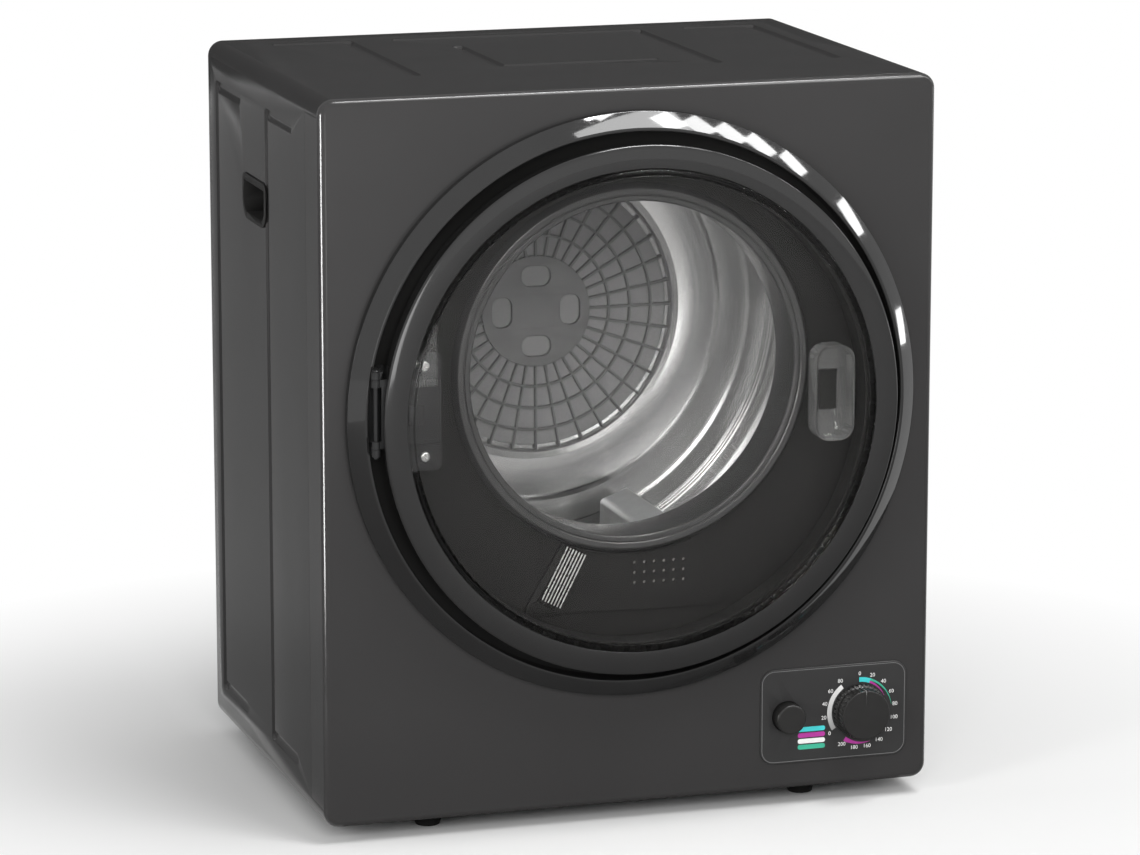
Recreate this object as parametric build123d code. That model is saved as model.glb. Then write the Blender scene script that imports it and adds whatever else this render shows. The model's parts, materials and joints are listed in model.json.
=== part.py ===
from build123d import *
import math
import os

# Compact clothes dryer that vents at the back. All sizes are in millimetres.
# +Z is up and the front faces -Y. The origin is on the floor, under the middle of the whole.

# Fits between pieces
CLEAR = 0.3            # between pieces that move past each other
RUNNING = 0.05         # radial room of a shaft in its hole
SEAM = 0.4             # between painted panels that meet edge to edge
SLIDE = 0.6            # radial room of a plain hole round what passes through it

# Door and bezel, which set the width and height of the cabinet
DOOR_RADIUS = 207.3
DOOR_PROUD = 36.0      # window face, in front of the front panel
DOOR_GAP = 9.3         # finger room between the door's rim and the crest of the bezel
DOOR_RISE = 319.0      # door axis above the underside of the cabinet
BEZEL_SLOPE = 12.7     # radial run of the bezel from its crest down to the panel
BEZEL_HEIGHT = 16.0
BEZEL_WALL = 1.8
BEZEL_EDGE = 1.1       # rounding of the crest
BEZEL_CREST_DEPTH = 3.6
BEZEL_FOOT_WIDTH = 2.7
SIDE_MARGIN = 18.2     # flat panel beside the bezel
TOP_MARGIN = 17.7      # flat panel above the bezel

# Cabinet
BOX_DEPTH = 355.0
FOOT_HEIGHT = 14.0     # underside of the cabinet above the floor
SHEET = 1.0
CORNER_RADIUS = 12.0
EDGE_RADIUS = 5.5      # rolled front edge
SIDE_RETURN = 42.0     # how far the front panel wraps round each side
FLANGE_WIDTH = 16.0    # inward flanges at the back and underside of the wrap

# Pressed stiffening beads
BEAD_WIDTH = 10.0
BEAD_DEPTH = 2.0
BEAD_DRAFT = 40.0      # degrees, slope of a bead's walls
BEAD_TOE = 75.0        # short forward run of a side bead
BEAD_MARGIN = 33.0     # side beads from the top and underside
SIDE_BEADS = (30.0, 193.0)    # upright runs, in front of the back
TOP_BEAD_REAR = 41.0   # cross runs, in front of the back
TOP_BEAD_FRONT = 112.0 # front ends, behind the front
TOP_BEAD_OUTER = (-199.0, -141.0)    # first and last x of each bead with a long run
TOP_BEAD_MIDDLE = (-99.0, 106.0)
TOP_BEAD_RIGHT = (151.0, 205.0)
INNER_BEAD_HALF = 63.0
INNER_BEAD_REAR = 95.0
INNER_BEAD_FRONT = 142.0

# Side handles
HANDLE_DEPTH = 200.0   # middle of the handle, behind the front
HANDLE_DROP = 107.0    # middle of the handle, below the top
HANDLE_LENGTH = 75.0
HANDLE_TALL = 36.0
HANDLE_LIP = 4.0
HANDLE_LIP_PROUD = 1.2
HANDLE_POCKET = 26.0
HANDLE_WALL = 1.6
HANDLE_TOP_RADIUS = 7.0
HANDLE_LOW_RADIUS = 15.0

# Feet and base
FOOT_TOP_RADIUS = 13.5
FOOT_LOW_RADIUS = 9.5
FOOT_EDGE = 1.0
FOOT_SIDE = 92.5       # from the sides
FOOT_INSET = 40.0      # from the front and the back
TRAY_WALL = 11.0
TRAY_SHEET = 1.2

# Door construction
RING_PROUD = 32.0      # flat face of the door ring, in front of the front panel
RING_FACE = 18.6       # width of that face
RING_DRAFT = 4.3       # how much narrower the rim is at its back
RING_SKIN = 2.4
RING_BACK = 4.0        # back edge of the rim, in front of the front panel
RING_EDGE = 1.4
WINDOW_THICKNESS = 3.0
WINDOW_SEAT = 5.0      # how far the window reaches under the ring
WINDOW_EDGE = 1.8
RETAINER_LIP = 7.0     # how far the retainer reaches inside the ring
RETAINER_WALL = 3.0
GASKET_WIDTH = 7.0
GASKET_DEPTH = 9.0
GASKET_EDGE = 2.0

# Hinge on the left
HINGE_RISE = 10.0      # middle of the hinge above the door axis
HINGE_LENGTH = 65.0
HINGE_PROUD = 24.0     # pin in front of the front panel
HINGE_GAP = 1.0        # between the knuckles and the door's rim
PIN_RADIUS = 1.6
PIN_HEAD = 1.6
PIN_HEAD_RADIUS = 2.6
KNUCKLE_RADIUS = 3.2
KNUCKLE_LENGTH = 5.7
ARM_WIDTH = 4.6        # fixed arms from the bulkhead to the pin
LEAF = 1.5
FOOT_PLATE_WIDTH = 12.0
PAD_X = 38.0           # middle of the pad to the right of the pin
PAD_WIDTH = 27.0
PAD_TALL = 91.0
PAD_CORNER = 5.0
PAD_SCREW_SPREAD = 70.0
BOSS_DEPTH = 12.0

# Latch on the right
LATCH_INSET = 27.7     # middle of the latch inside the retainer
LATCH_RISE = 6.0       # above the door axis
LATCH_WIDTH = 32.0
LATCH_TALL = 75.0
LATCH_CORNER = 12.0
LATCH_EDGE = 4.0
LATCH_WALL = 1.8
LATCH_DEPTH = 20.0
TONGUE_WIDTH = 7.0
TONGUE_TALL = 24.0
TONGUE_EDGE = 1.7
TONGUE_FOOT = 3.6      # foot inside the cup, wider than the tongue by this much all round
TONGUE_PLATE = 1.8     # thickness of that foot
TONGUE_REACH = 9.0     # through the bulkhead
SLOT_ROOM = 2.0
CATCH_WALL = 3.0
SWITCH_BOX = (12.0, 9.0, 22.0)

# Bulkhead and drum mouth
BULKHEAD_SET = 3.0     # face of the bulkhead behind the front
BULKHEAD = 3.0
BULKHEAD_RIM = 5.0
DRUM_OFFSET = 28.0     # drum axis above the door axis
MOUTH_ROOM = 14.0      # least room between the light ring and the door's gasket, at the top
MOUTH_WALL = 2.0
MOUTH_FLANGE = 14.5    # visible light ring, measured across
MOUTH_PROUD = 6.0
MOUTH_EDGE = 3.0
MOUTH_TUBE = 40.0      # back end of the mouth tube, behind the front
FELT = 4.0
NECK_FRONT = 14.0      # drum neck behind the front
NECK_LENGTH = 18.0

# Lint cover and filter
FILTER_X = -4.6
FILTER_ROOM = 0.6      # between the cover's lower corners and the door's gasket
FILTER_TOP_WIDTH = 103.0
FILTER_LOW_WIDTH = 172.0
FILTER_PLATE = 2.0
FILTER_LIP = 5.0       # cover's overlap on the bulkhead
FILTER_CORNER = 6.0
RIB_COUNT = 7
RIB_WIDTH = 1.2
RIB_PITCH = 2.7
RIB_HEIGHT = 1.2
RIB_MARGIN = 5.0       # first rib inside the cover's left edge
RIB_RISE = 18.0        # lower ends of the ribs, along that edge
HOLE_RADIUS = 1.3
HOLE_PITCH = 8.0
HOLE_COLUMNS = 6
HOLE_ROWS = 3
HOLE_SHIFT = 27.0      # middle of the holes to the right of the cover's middle

# Drum
DRUM_HEADROOM = 9.5    # between the drum and the beads of the cabinet top
DRUM_SHEET = 1.0
DRUM_BACK = 257.0      # inner face of the drum's back, behind the front
CONE_RISE = 12.0       # depth of the drum's front cone
ROLL_RADIUS = 9.0      # rolled rings of the drum's wall
ROLL_PROUD = 3.0
ROLL_DEPTHS = (78.0, 118.0, 158.0, 236.0)
LIFTER_COUNT = 2
LIFTER_ANGLE = -70.0   # degrees from +X towards +Z
LIFTER_LENGTH = 150.0
LIFTER_WIDTH = 54.0
LIFTER_HEIGHT = 50.0
LIFTER_DRAFT = 16.0    # degrees
LIFTER_EDGE = 6.0
LIFTER_WALL = 2.0
GRILLE_RADIUS = 118.0
GRILLE_LAP = 6.0       # grille's overlap on the drum's back plate
GRILLE_THICKNESS = 4.0
GRILLE_SPOKES = 36
GRILLE_RINGS = 4
GRILLE_RIB = 2.2
GRILLE_HUB = 46.0
HUB_WINDOWS = 4
HUB_WINDOW_WIDTH = 17.0
HUB_WINDOW_LENGTH = 25.0
HUB_WINDOW_CORNER = 7.6
HUB_WINDOW_OFFSET = 29.0
NET_THICKNESS = 0.6    # fine net behind the grille
SPIDER_ARMS = 3
SPIDER_THICKNESS = 9.0
SPIDER_ARM_WIDTH = 28.0
SPIDER_HUB_RADIUS = 26.0
SPIDER_HUB_LENGTH = 26.0
SPIDER_LAP = 24.0      # how far the arms reach over the drum's back plate
SHAFT_RADIUS = 8.5
SHAFT_TAIL = 4.0       # shaft behind its bearing

# Back of the cabinet
BEARING_RADIUS = 17.5
BEARING_WIDTH = 12.0
BEARING_GAP = 16.0     # between the spider's hub and the bearing
CARRIER_RADIUS = 66.0
CARRIER_NOSE = 30.0
CARRIER_SHEET = 2.0
CARRIER_FLANGE = 12.0
AIR_RING_RADIUS = 172.0
AIR_RING_SHEET = 1.2
AIR_RING_FLANGE = 12.0
REAR_FELT_WIDTH = 8.0
REAR_FELT_DEPTH = 10.0
LOUVRE_ROWS = 6
LOUVRE_COLUMNS = 2
LOUVRE_LENGTH = 58.0
LOUVRE_PITCH = 10.0
LOUVRE_SPREAD = 70.0
LOUVRE_SLOT = 4.0
LOUVRE_HOOD = 4.0
HEATER_RISE = 112.0    # middle of the heater above the drum axis
HEATER_WIDTH = 146.0
HEATER_TALL = 52.0
HEATER_DEPTH = 26.0
HEATER_WALL = 1.5
HEATER_FINS = 20
HEATER_FIN = 1.2
HEATER_TUBES = 3
HEATER_TUBE = 6.0
HEATER_TUBE_DEPTH = 16.0
THERMOSTAT_RADIUS = 8.0
THERMOSTAT_HEIGHT = 7.0
THERMOSTAT_EDGE = 1.4
THERMOSTAT_SPREAD = 60.0
SCREW_RADIUS = 2.0
SCREW_HEAD_RADIUS = 4.0
SCREW_HEAD = 2.2
SCREW_EDGE = 1.3       # rounding of the head
SCREW_LENGTH = 7.0
SCREWS_ACROSS = 4
SCREWS_UP = 3
SCREW_SIDE_INSET = 48.0    # outermost screws along the top, from the sides
SCREW_END_INSET = 64.0     # outermost screws up the sides, from the top and the underside
GLAND_RADIUS = 9.0
GLAND_TIP = 6.3
GLAND_FLANGE = 3.0
GLAND_BORE = 3.6
GLAND_PROUD = 8.0
GLAND_SIDE = 57.0      # from the left side
GLAND_RISE = 62.0      # above the underside

# Motor, blower and ducts
MOTOR_SIDE = 132.5     # motor axis from the left side
FAN_RADIUS = 50.0
FAN_WIDTH = 34.0
FAN_BLADES = 20
FAN_BLADE = 1.4
FAN_BLADE_DEPTH = 13.0
FAN_BLADE_LEAN = 25.0  # degrees
FAN_PLATE = 2.0
FAN_HUB_RADIUS = 10.0
FAN_HUB_LENGTH = 22.6
FAN_ROOM = 6.0         # least room between the fan and its housing
VOLUTE_GROWTH = 12.0   # how much the housing widens over a turn
VOLUTE_END = 270.0     # degrees of spiral before the straight outlet
VOLUTE_ARCS = 3
VOLUTE_WALL = 1.6
VOLUTE_FRONT = 42.0    # front of the blower housing, behind the front
OUTLET_LENGTH = 76.0   # from the motor axis to the mouth of the housing
OUTLET_DROP = 8.0      # top of the mouth below the motor axis
INLET_RADIUS = 36.0
MOTOR_RADIUS = 42.0
MOTOR_BELL_RADIUS = 34.0
MOTOR_BELL = 16.0
MOTOR_LENGTH = 84.0
MOTOR_GAP = 8.0        # between motor and blower housing, and motor and pulley
MOTOR_SHAFT_RADIUS = 5.0
MOTOR_SHAFT_TAIL = 3.0
BRACKET_PLATE = 5.0
BRACKET_WIDTH = 64.0
BRACKET_INSET = 7.0    # saddles inside the motor's end bells
BRACKET_DROP = 21.0    # top of the saddles below the motor axis
PULLEY_RADIUS = 9.0
PULLEY_WIDTH = 13.0
PULLEY_FLANGE = 3.0
PULLEY_RIM = 2.0
BELT_WIDTH = 7.0
BELT_THICKNESS = 2.6
DUCT_WALL = 1.6
DUCT_LAP = 3.2         # how far the intake duct reaches round the lint opening
DUCT_LEFT = 52.0       # from the motor axis to the left wall of the intake duct
DUCT_RIGHT = 92.0      # right wall of the intake duct from the middle
DUCT_ROOM = 3.0        # round the ducts, to the drum's rolled rings and the exhaust pipe
POCKET_BACK = 28.0     # back of the duct behind the lint filter, behind the front
PLENUM_RIGHT = 112.0   # right wall of the exhaust duct from the middle
COLLAR_RADIUS = 50.0
COLLAR_REACH = 30.0
COLLAR_WALL = 2.0
COLLAR_FLANGE = 9.0
COLLAR_X = 58.0

# Controls
CONTROL_SIDE = 79.8    # middle of the fascia from the right side
CONTROL_RISE = 59.8    # middle of the fascia above the underside
CONTROL_WIDTH = 122.8
CONTROL_TALL = 77.0
CONTROL_CORNER = 11.5
CONTROL_PLATE = 1.2
CONTROL_EDGE = 0.6
KNOB_SHIFT = 21.9      # knob to the right of the fascia's middle
KNOB_SKIRT_RADIUS = 22.0
KNOB_SKIRT = 5.0
KNOB_RADIUS = 19.8
KNOB_HEIGHT = 16.0
KNOB_EDGE = 0.8
KNOB_FLUTES = 36
KNOB_FLUTE_RADIUS = 0.9
KNOB_MARK_WIDTH = 2.0
KNOB_MARK_LENGTH = 11.0
KNOB_MARK_DEPTH = 1.2
TIMER_SIZE = 46.0
TIMER_DEPTH = 26.0
TIMER_CORNER = 5.7
TIMER_SHAFT_RADIUS = 3.0
TIMER_SHAFT_GRIP = 10.0
TIMER_SHAFT_DEPTH = 13.0    # how far the shaft reaches into the timer
BUTTON_SHIFT = -38.9   # button to the left of the fascia's middle
BUTTON_RADIUS = 12.0
BUTTON_HEIGHT = 11.5
BUTTON_SKIRT = 2.0     # below the back of the front panel
BUTTON_EDGE = 1.6
BUTTON_TRAVEL = 4.0
SWITCH_SIZE = 30.0
SWITCH_DEPTH = 16.0
STEM_RADIUS = 3.0
STEM_GRIP = 5.0

# Places worked out from the sizes above
CREST_RADIUS = DOOR_RADIUS + DOOR_GAP
BEZEL_RADIUS = CREST_RADIUS + BEZEL_SLOPE
BEZEL_BORE = CREST_RADIUS - BEZEL_WALL
BOX_WIDTH = 2 * (BEZEL_RADIUS + SIDE_MARGIN)
BOX_HEIGHT = DOOR_RISE + BEZEL_RADIUS + TOP_MARGIN
HALF = BOX_WIDTH / 2
FRONT = DOOR_PROUD - (DOOR_PROUD + BOX_DEPTH + COLLAR_REACH) / 2
REAR = FRONT + BOX_DEPTH
REAR_INSIDE = REAR - SHEET
FLOOR = FOOT_HEIGHT
TOP = FLOOR + BOX_HEIGHT
MIDDLE = (FLOOR + TOP) / 2
EDGE_RETURN = EDGE_RADIUS + SHEET
FOOT_SPREAD = HALF - FOOT_SIDE
CORNER_BAND = CORNER_RADIUS + 2 * SHEET
TRAY_FLOOR = FLOOR + SHEET
TRAY_TOP = TRAY_FLOOR + TRAY_SHEET
DOOR_Z = FLOOR + DOOR_RISE
DRUM_Z = DOOR_Z + DRUM_OFFSET
BULKHEAD_FRONT = FRONT + BULKHEAD_SET
BULKHEAD_REAR = BULKHEAD_FRONT + BULKHEAD
BULKHEAD_RADIUS = BEZEL_RADIUS + BULKHEAD_RIM
WINDOW_RADIUS = DOOR_RADIUS - RING_FACE
WINDOW_BACK = FRONT - DOOR_PROUD + WINDOW_THICKNESS
RING_UNDER = FRONT - RING_PROUD + RING_SKIN
SEAT_BACK = RING_UNDER + WINDOW_THICKNESS
GASKET_FRONT = BULKHEAD_FRONT - CLEAR - GASKET_DEPTH
RETAINER_RADIUS = DOOR_RADIUS - RING_DRAFT - RING_SKIN - CLEAR
RETAINER_INNER = WINDOW_RADIUS - RETAINER_LIP
GASKET_INNER = (RETAINER_RADIUS + RETAINER_INNER - GASKET_WIDTH) / 2
PIN_X = -(DOOR_RADIUS + KNUCKLE_RADIUS + HINGE_GAP)
PIN_Y = FRONT - HINGE_PROUD
HINGE_Z = DOOR_Z + HINGE_RISE
HINGE_LOW = HINGE_Z - HINGE_LENGTH / 2
HINGE_HIGH = HINGE_Z + HINGE_LENGTH / 2
LEAF_LOW = HINGE_LOW + KNUCKLE_LENGTH + CLEAR
LEAF_HIGH = HINGE_HIGH - KNUCKLE_LENGTH - CLEAR
LEAF_BACK = PIN_Y + LEAF
PAD_MIDDLE_X = PIN_X + PAD_X
LATCH_X = RETAINER_INNER - LATCH_INSET
LATCH_Z = DOOR_Z + LATCH_RISE
LATCH_BACK = WINDOW_BACK + LATCH_DEPTH
TONGUE_BACK = BULKHEAD_REAR + TONGUE_REACH
MOUTH_RING_RADIUS = GASKET_INNER - DRUM_OFFSET - MOUTH_ROOM
MOUTH_RADIUS = MOUTH_RING_RADIUS - MOUTH_FLANGE
MOUTH_TUBE_RADIUS = MOUTH_RADIUS + MOUTH_WALL
FELT_RADIUS = MOUTH_TUBE_RADIUS + FELT
NECK_RADIUS = FELT_RADIUS + CLEAR
NECK_BACK = FRONT + NECK_FRONT + NECK_LENGTH
DRUM_RADIUS = TOP - SHEET - BEAD_DEPTH - DRUM_HEADROOM - DRUM_Z
DRUM_INNER = DRUM_RADIUS - DRUM_SHEET
DRUM_START = NECK_BACK + CONE_RISE
DRUM_INSIDE_BACK = FRONT + DRUM_BACK
DRUM_REAR = DRUM_INSIDE_BACK + DRUM_SHEET
BACK_OPENING = GRILLE_RADIUS - GRILLE_LAP
BEARING_FRONT = DRUM_REAR + SPIDER_HUB_LENGTH + BEARING_GAP
BEARING_REAR = BEARING_FRONT + BEARING_WIDTH
FILTER_REACH = GASKET_INNER - FILTER_ROOM
FILTER_SIDE = abs(FILTER_X) + FILTER_LOW_WIDTH / 2
FILTER_LOW_Z = DOOR_Z - math.sqrt(FILTER_REACH ** 2 - FILTER_SIDE ** 2)
FILTER_DROP = DRUM_Z - MOUTH_RING_RADIUS - FILTER_LOW_Z
FILTER_HIGH_Z = DRUM_Z - MOUTH_TUBE_RADIUS
COVER_FRONT = BULKHEAD_FRONT - FILTER_PLATE
VOLUTE_RADIUS = FAN_RADIUS + FAN_ROOM + VOLUTE_WALL
VOLUTE_LOW = VOLUTE_RADIUS + VOLUTE_GROWTH * VOLUTE_END / 360
MOTOR_X = MOTOR_SIDE - HALF
MOTOR_Z = TRAY_TOP + VOLUTE_LOW
VOLUTE_Y = FRONT + VOLUTE_FRONT
VOLUTE_DEPTH = FAN_WIDTH + 2 * (VOLUTE_WALL + FAN_ROOM)
VOLUTE_REAR = VOLUTE_Y + VOLUTE_DEPTH
FAN_Y = VOLUTE_Y + VOLUTE_WALL + FAN_ROOM
MOTOR_Y = VOLUTE_REAR + MOTOR_GAP
PULLEY_Y = MOTOR_Y + MOTOR_LENGTH + MOTOR_GAP
BELT_Y = PULLEY_Y + PULLEY_WIDTH / 2
OUTLET_X = MOTOR_X + OUTLET_LENGTH
OUTLET_TOP = MOTOR_Z - OUTLET_DROP
TRAY_RIM = TRAY_FLOOR + TRAY_WALL
COLLAR_Z = TRAY_RIM + COLLAR_RADIUS + CLEAR
COLLAR_BORE = COLLAR_RADIUS - COLLAR_WALL
CONTROL_X = HALF - CONTROL_SIDE
CONTROL_Z = FLOOR + CONTROL_RISE
CONTROL_FACE = FRONT - CONTROL_PLATE
PANEL_BACK = FRONT + SHEET
KNOB_X = CONTROL_X + KNOB_SHIFT
KNOB_BACK = CONTROL_FACE - CLEAR
BUTTON_X = CONTROL_X + BUTTON_SHIFT
BUTTON_BACK = PANEL_BACK + BUTTON_SKIRT
SWITCH_FRONT = BUTTON_BACK + BUTTON_TRAVEL + CLEAR
HEATER_Z = DRUM_Z + HEATER_RISE
HEATER_MIDDLE = (DRUM_REAR + SPIDER_THICKNESS + REAR_INSIDE) / 2
HEATER_Y = HEATER_MIDDLE - HEATER_DEPTH / 2
HEATER_REAR = HEATER_MIDDLE + HEATER_DEPTH / 2


# Drawing helpers

def outline(*points):
    """A flat face with straight sides."""
    return make_face(Polyline(*points, close=True))


def rounded(face, radius, *places):
    """The face with the corners nearest to those places rounded."""
    corners = [face.vertices().sort_by_distance((*place, 0))[0] for place in places]
    return fillet(corners, radius)


def prism(face, y_front, y_back):
    """A flat outline drawn as (x, z), made solid from y_front back to y_back."""
    plane = Plane(origin=(0, y_back, 0), x_dir=(1, 0, 0), z_dir=(0, -1, 0))
    return plane * extrude(face, y_back - y_front)


def turned(face, z, x=0.0):
    """An outline drawn as (radius, y), turned about a line along Y through (x, z)."""
    return Pos(x, 0, z) * revolve(face, Axis.Y)


def tube(inner, outer, y_front, y_back, z, x=0.0):
    """A plain round tube along Y."""
    face = outline((inner, y_front), (outer, y_front), (outer, y_back), (inner, y_back))
    return turned(face, z, x)


def rod(radius, y_front, y_back, z, x=0.0):
    """A plain round bar along Y."""
    return prism(Pos(x, z) * Circle(radius), y_front, y_back)


def block(x_range, y_range, z_range):
    """A box between two corners."""
    ranges = (x_range, y_range, z_range)
    middle = [(low + high) / 2 for low, high in ranges]
    return Pos(*middle) * Box(*[high - low for low, high in ranges])


def stroke(points, width):
    """A flat band of even width along straight runs, with round ends and corners."""
    band = Sketch()
    for start, end in zip(points, points[1:]):
        angle = math.degrees(math.atan2(end[1] - start[1], end[0] - start[0]))
        middle = ((start[0] + end[0]) / 2, (start[1] + end[1]) / 2)
        band += Pos(*middle) * SlotCenterToCenter(math.dist(start, end), width, rotation=angle)
    return band


def spread(count, reach):
    """Evenly spaced places from -reach to reach."""
    return [reach * (2 * k / (count - 1) - 1) for k in range(count)]


def screw(y_seat, z, x, facing):
    """A pan-head screw along Y; facing is -1 when its head looks to the front, 1 to the back."""
    head = fillet(Cylinder(SCREW_HEAD_RADIUS, SCREW_HEAD).edges().sort_by(Axis.Z)[-1], SCREW_EDGE)
    shank = Pos(0, 0, -(SCREW_HEAD + SCREW_LENGTH) / 2) * Cylinder(SCREW_RADIUS, SCREW_LENGTH)
    place = Plane(origin=(x, y_seat, z), x_dir=(1, 0, 0), z_dir=(0, facing, 0))
    return place * Pos(0, 0, SCREW_HEAD / 2) * (head + shank)


def cabinet_outline(inset):
    """The cabinet's rounded cross-section, drawn as (x, z), that much inside its outer face."""
    size = (BOX_WIDTH - 2 * inset, BOX_HEIGHT - 2 * inset)
    return Pos(0, MIDDLE) * RectangleRounded(*size, CORNER_RADIUS - inset)


# Cabinet

def bead(plane, points):
    """The bulge and the groove of one pressed bead; the plane faces into the cabinet."""
    bulge = extrude(stroke(points, BEAD_WIDTH + 2 * SHEET), BEAD_DEPTH + SHEET, taper=BEAD_DRAFT)
    groove = extrude(stroke(points, BEAD_WIDTH), BEAD_DEPTH, taper=BEAD_DRAFT)
    return plane * bulge, plane * groove


def side_bead_runs():
    """Two upright beads on each side, with a short toe forward at both ends, as (y, z)."""
    low = FLOOR + BEAD_MARGIN
    high = TOP - BEAD_MARGIN
    for inset in SIDE_BEADS:
        upright = REAR - inset
        toe = upright - BEAD_TOE
        yield (toe, low), (upright, low), (upright, high), (toe, high)


def top_bead_runs():
    """Four bent beads on the top, as (x, -y)."""
    back = -(REAR - TOP_BEAD_REAR)
    near = -(FRONT + TOP_BEAD_FRONT)
    for first, last in (TOP_BEAD_OUTER, TOP_BEAD_MIDDLE, TOP_BEAD_RIGHT):
        yield (first, back), (last, back), (last, near)
    inner_back = -(REAR - INNER_BEAD_REAR)
    inner_front = -(FRONT + INNER_BEAD_FRONT)
    yield (-INNER_BEAD_HALF, inner_back), (-INNER_BEAD_HALF, inner_front), (INNER_BEAD_HALF, inner_front)


def handle_outline(inset):
    """Flat top and well-rounded lower corners, drawn about its own middle."""
    half_length = HANDLE_LENGTH / 2 - inset
    half_tall = HANDLE_TALL / 2 - inset
    face = Rectangle(2 * half_length, 2 * half_tall)
    face = rounded(face, HANDLE_LOW_RADIUS - inset, (-half_length, -half_tall), (half_length, -half_tall))
    high_radius = max(HANDLE_TOP_RADIUS - inset, SHEET)
    return rounded(face, high_radius, (-half_length, half_tall), (half_length, half_tall))


def handle_plane():
    """On the left side of the cabinet, facing outwards."""
    place = (-HALF, FRONT + HANDLE_DEPTH, TOP - HANDLE_DROP)
    return Plane(origin=place, x_dir=(0, -1, 0), z_dir=(-1, 0, 0))


def side_handle_left():
    """A moulded pocket with a raised lip, pushed into the side."""
    lip = extrude(handle_outline(0), HANDLE_LIP_PROUD)
    cup = extrude(handle_outline(HANDLE_LIP), -HANDLE_POCKET)
    hollow = extrude(handle_outline(HANDLE_LIP + HANDLE_WALL), HANDLE_POCKET + HANDLE_LIP_PROUD)
    return handle_plane() * (lip + cup - Pos(0, 0, HANDLE_WALL - HANDLE_POCKET) * hollow)


def side_handle_right():
    return mirror(side_handle_left(), about=Plane.YZ)


def rear_screw_places():
    """Round the rear panel, on the middle of the wrap's back flange, as (x, z)."""
    inset = FLANGE_WIDTH / 2 + SHEET
    places = [(x, TOP - inset) for x in spread(SCREWS_ACROSS, HALF - SCREW_SIDE_INSET)]
    for z in spread(SCREWS_UP, BOX_HEIGHT / 2 - SCREW_END_INSET):
        places += [(-HALF + inset, MIDDLE + z), (HALF - inset, MIDDLE + z)]
    return places


def cabinet_wrap():
    """One painted sheet over both sides and the top, curled under below and flanged at the back."""
    start = FRONT + EDGE_RETURN + SEAM
    wrap = prism(cabinet_outline(0) - cabinet_outline(SHEET), start, REAR_INSIDE)
    open_back = Pos(0, MIDDLE) * Rectangle(BOX_WIDTH - 2 * FLANGE_WIDTH, BOX_HEIGHT - 2 * FLANGE_WIDTH)
    wrap += prism(cabinet_outline(SHEET / 2) - open_back, REAR_INSIDE - SHEET, REAR_INSIDE)
    gap = HALF - CORNER_RADIUS - FLANGE_WIDTH
    wrap -= block((-gap, gap), (FRONT, REAR), (FLOOR - SHEET, FLOOR + FLANGE_WIDTH + SHEET))
    beside = (-HALF - SHEET, HALF + SHEET)
    wrap -= block(beside, (FRONT, FRONT + SIDE_RETURN + SEAM), (FLOOR + CORNER_BAND, TOP - CORNER_BAND))
    side = Plane(origin=(-HALF, 0, 0), x_dir=(0, 1, 0), z_dir=(1, 0, 0))
    top = Plane(origin=(0, 0, TOP), x_dir=(1, 0, 0), z_dir=(0, 0, -1))
    for points in side_bead_runs():
        bulge, groove = bead(side, points)
        wrap = wrap + bulge + mirror(bulge, about=Plane.YZ) - groove - mirror(groove, about=Plane.YZ)
    for points in top_bead_runs():
        bulge, groove = bead(top, points)
        wrap = wrap + bulge - groove
    hole = extrude(handle_outline(HANDLE_LIP - CLEAR), HANDLE_POCKET, both=True)
    hole = handle_plane() * hole
    wrap = wrap - hole - mirror(hole, about=Plane.YZ)
    for x, z in rear_screw_places():
        wrap -= rod(SCREW_RADIUS + CLEAR, REAR - SCREW_LENGTH, REAR, z, x)
    return wrap


def front_panel():
    """A drawn steel front with rolled edges, wrapped round the sides and holed for door and controls."""
    panel = prism(cabinet_outline(0), FRONT, FRONT + SIDE_RETURN)
    panel = fillet(panel.faces().sort_by(Axis.Y)[0].edges(), EDGE_RADIUS)
    inside = prism(cabinet_outline(SHEET), PANEL_BACK, FRONT + SIDE_RETURN)
    inside = fillet(inside.faces().sort_by(Axis.Y)[0].edges(), EDGE_RADIUS - SHEET)
    panel -= inside
    band = CORNER_BAND + SEAM
    beside = (-HALF - SHEET, HALF + SHEET)
    behind = (FRONT + EDGE_RETURN, FRONT + SIDE_RETURN + SHEET)
    for low, high in ((FLOOR - SHEET, FLOOR + band), (TOP - band, TOP + SHEET)):
        panel -= block(beside, behind, (low, high))
    for radius, x, z in (
        (CREST_RADIUS + SLIDE, 0, DOOR_Z),
        (TIMER_SHAFT_RADIUS + SLIDE, KNOB_X, CONTROL_Z),
        (BUTTON_RADIUS + SLIDE, BUTTON_X, CONTROL_Z),
    ):
        panel -= rod(radius, FRONT - SHEET, PANEL_BACK + SHEET, z, x)
    return panel


def door_bezel():
    """The raised ring round the door: a slope up to a rounded crest and a wall back to the bulkhead."""
    crest = FRONT - BEZEL_HEIGHT
    crest_outer = (CREST_RADIUS + BEZEL_WALL / 2, crest)
    crest_inner = (BEZEL_BORE, crest)
    face = outline(
        (BEZEL_RADIUS, FRONT),
        crest_outer,
        crest_inner,
        (BEZEL_BORE, BULKHEAD_FRONT),
        (CREST_RADIUS, BULKHEAD_FRONT),
        (CREST_RADIUS, crest + BEZEL_CREST_DEPTH),
        (BEZEL_RADIUS - BEZEL_FOOT_WIDTH, FRONT),
    )
    return turned(rounded(face, BEZEL_EDGE, crest_outer, crest_inner), DOOR_Z)


def base_tray():
    """A pan that stands on the wrap's lower flanges and carries the motor and the feet."""
    half = HALF - CORNER_RADIUS - SHEET
    front = FRONT + EDGE_RETURN + SEAM
    back = REAR_INSIDE - SHEET - SEAM
    tray = block((-half, half), (front, back), (TRAY_FLOOR, TRAY_RIM))
    inner = half - TRAY_SHEET
    return tray - block(
        (-inner, inner), (front + TRAY_SHEET, back - TRAY_SHEET), (TRAY_TOP, TRAY_RIM)
    )


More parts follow.
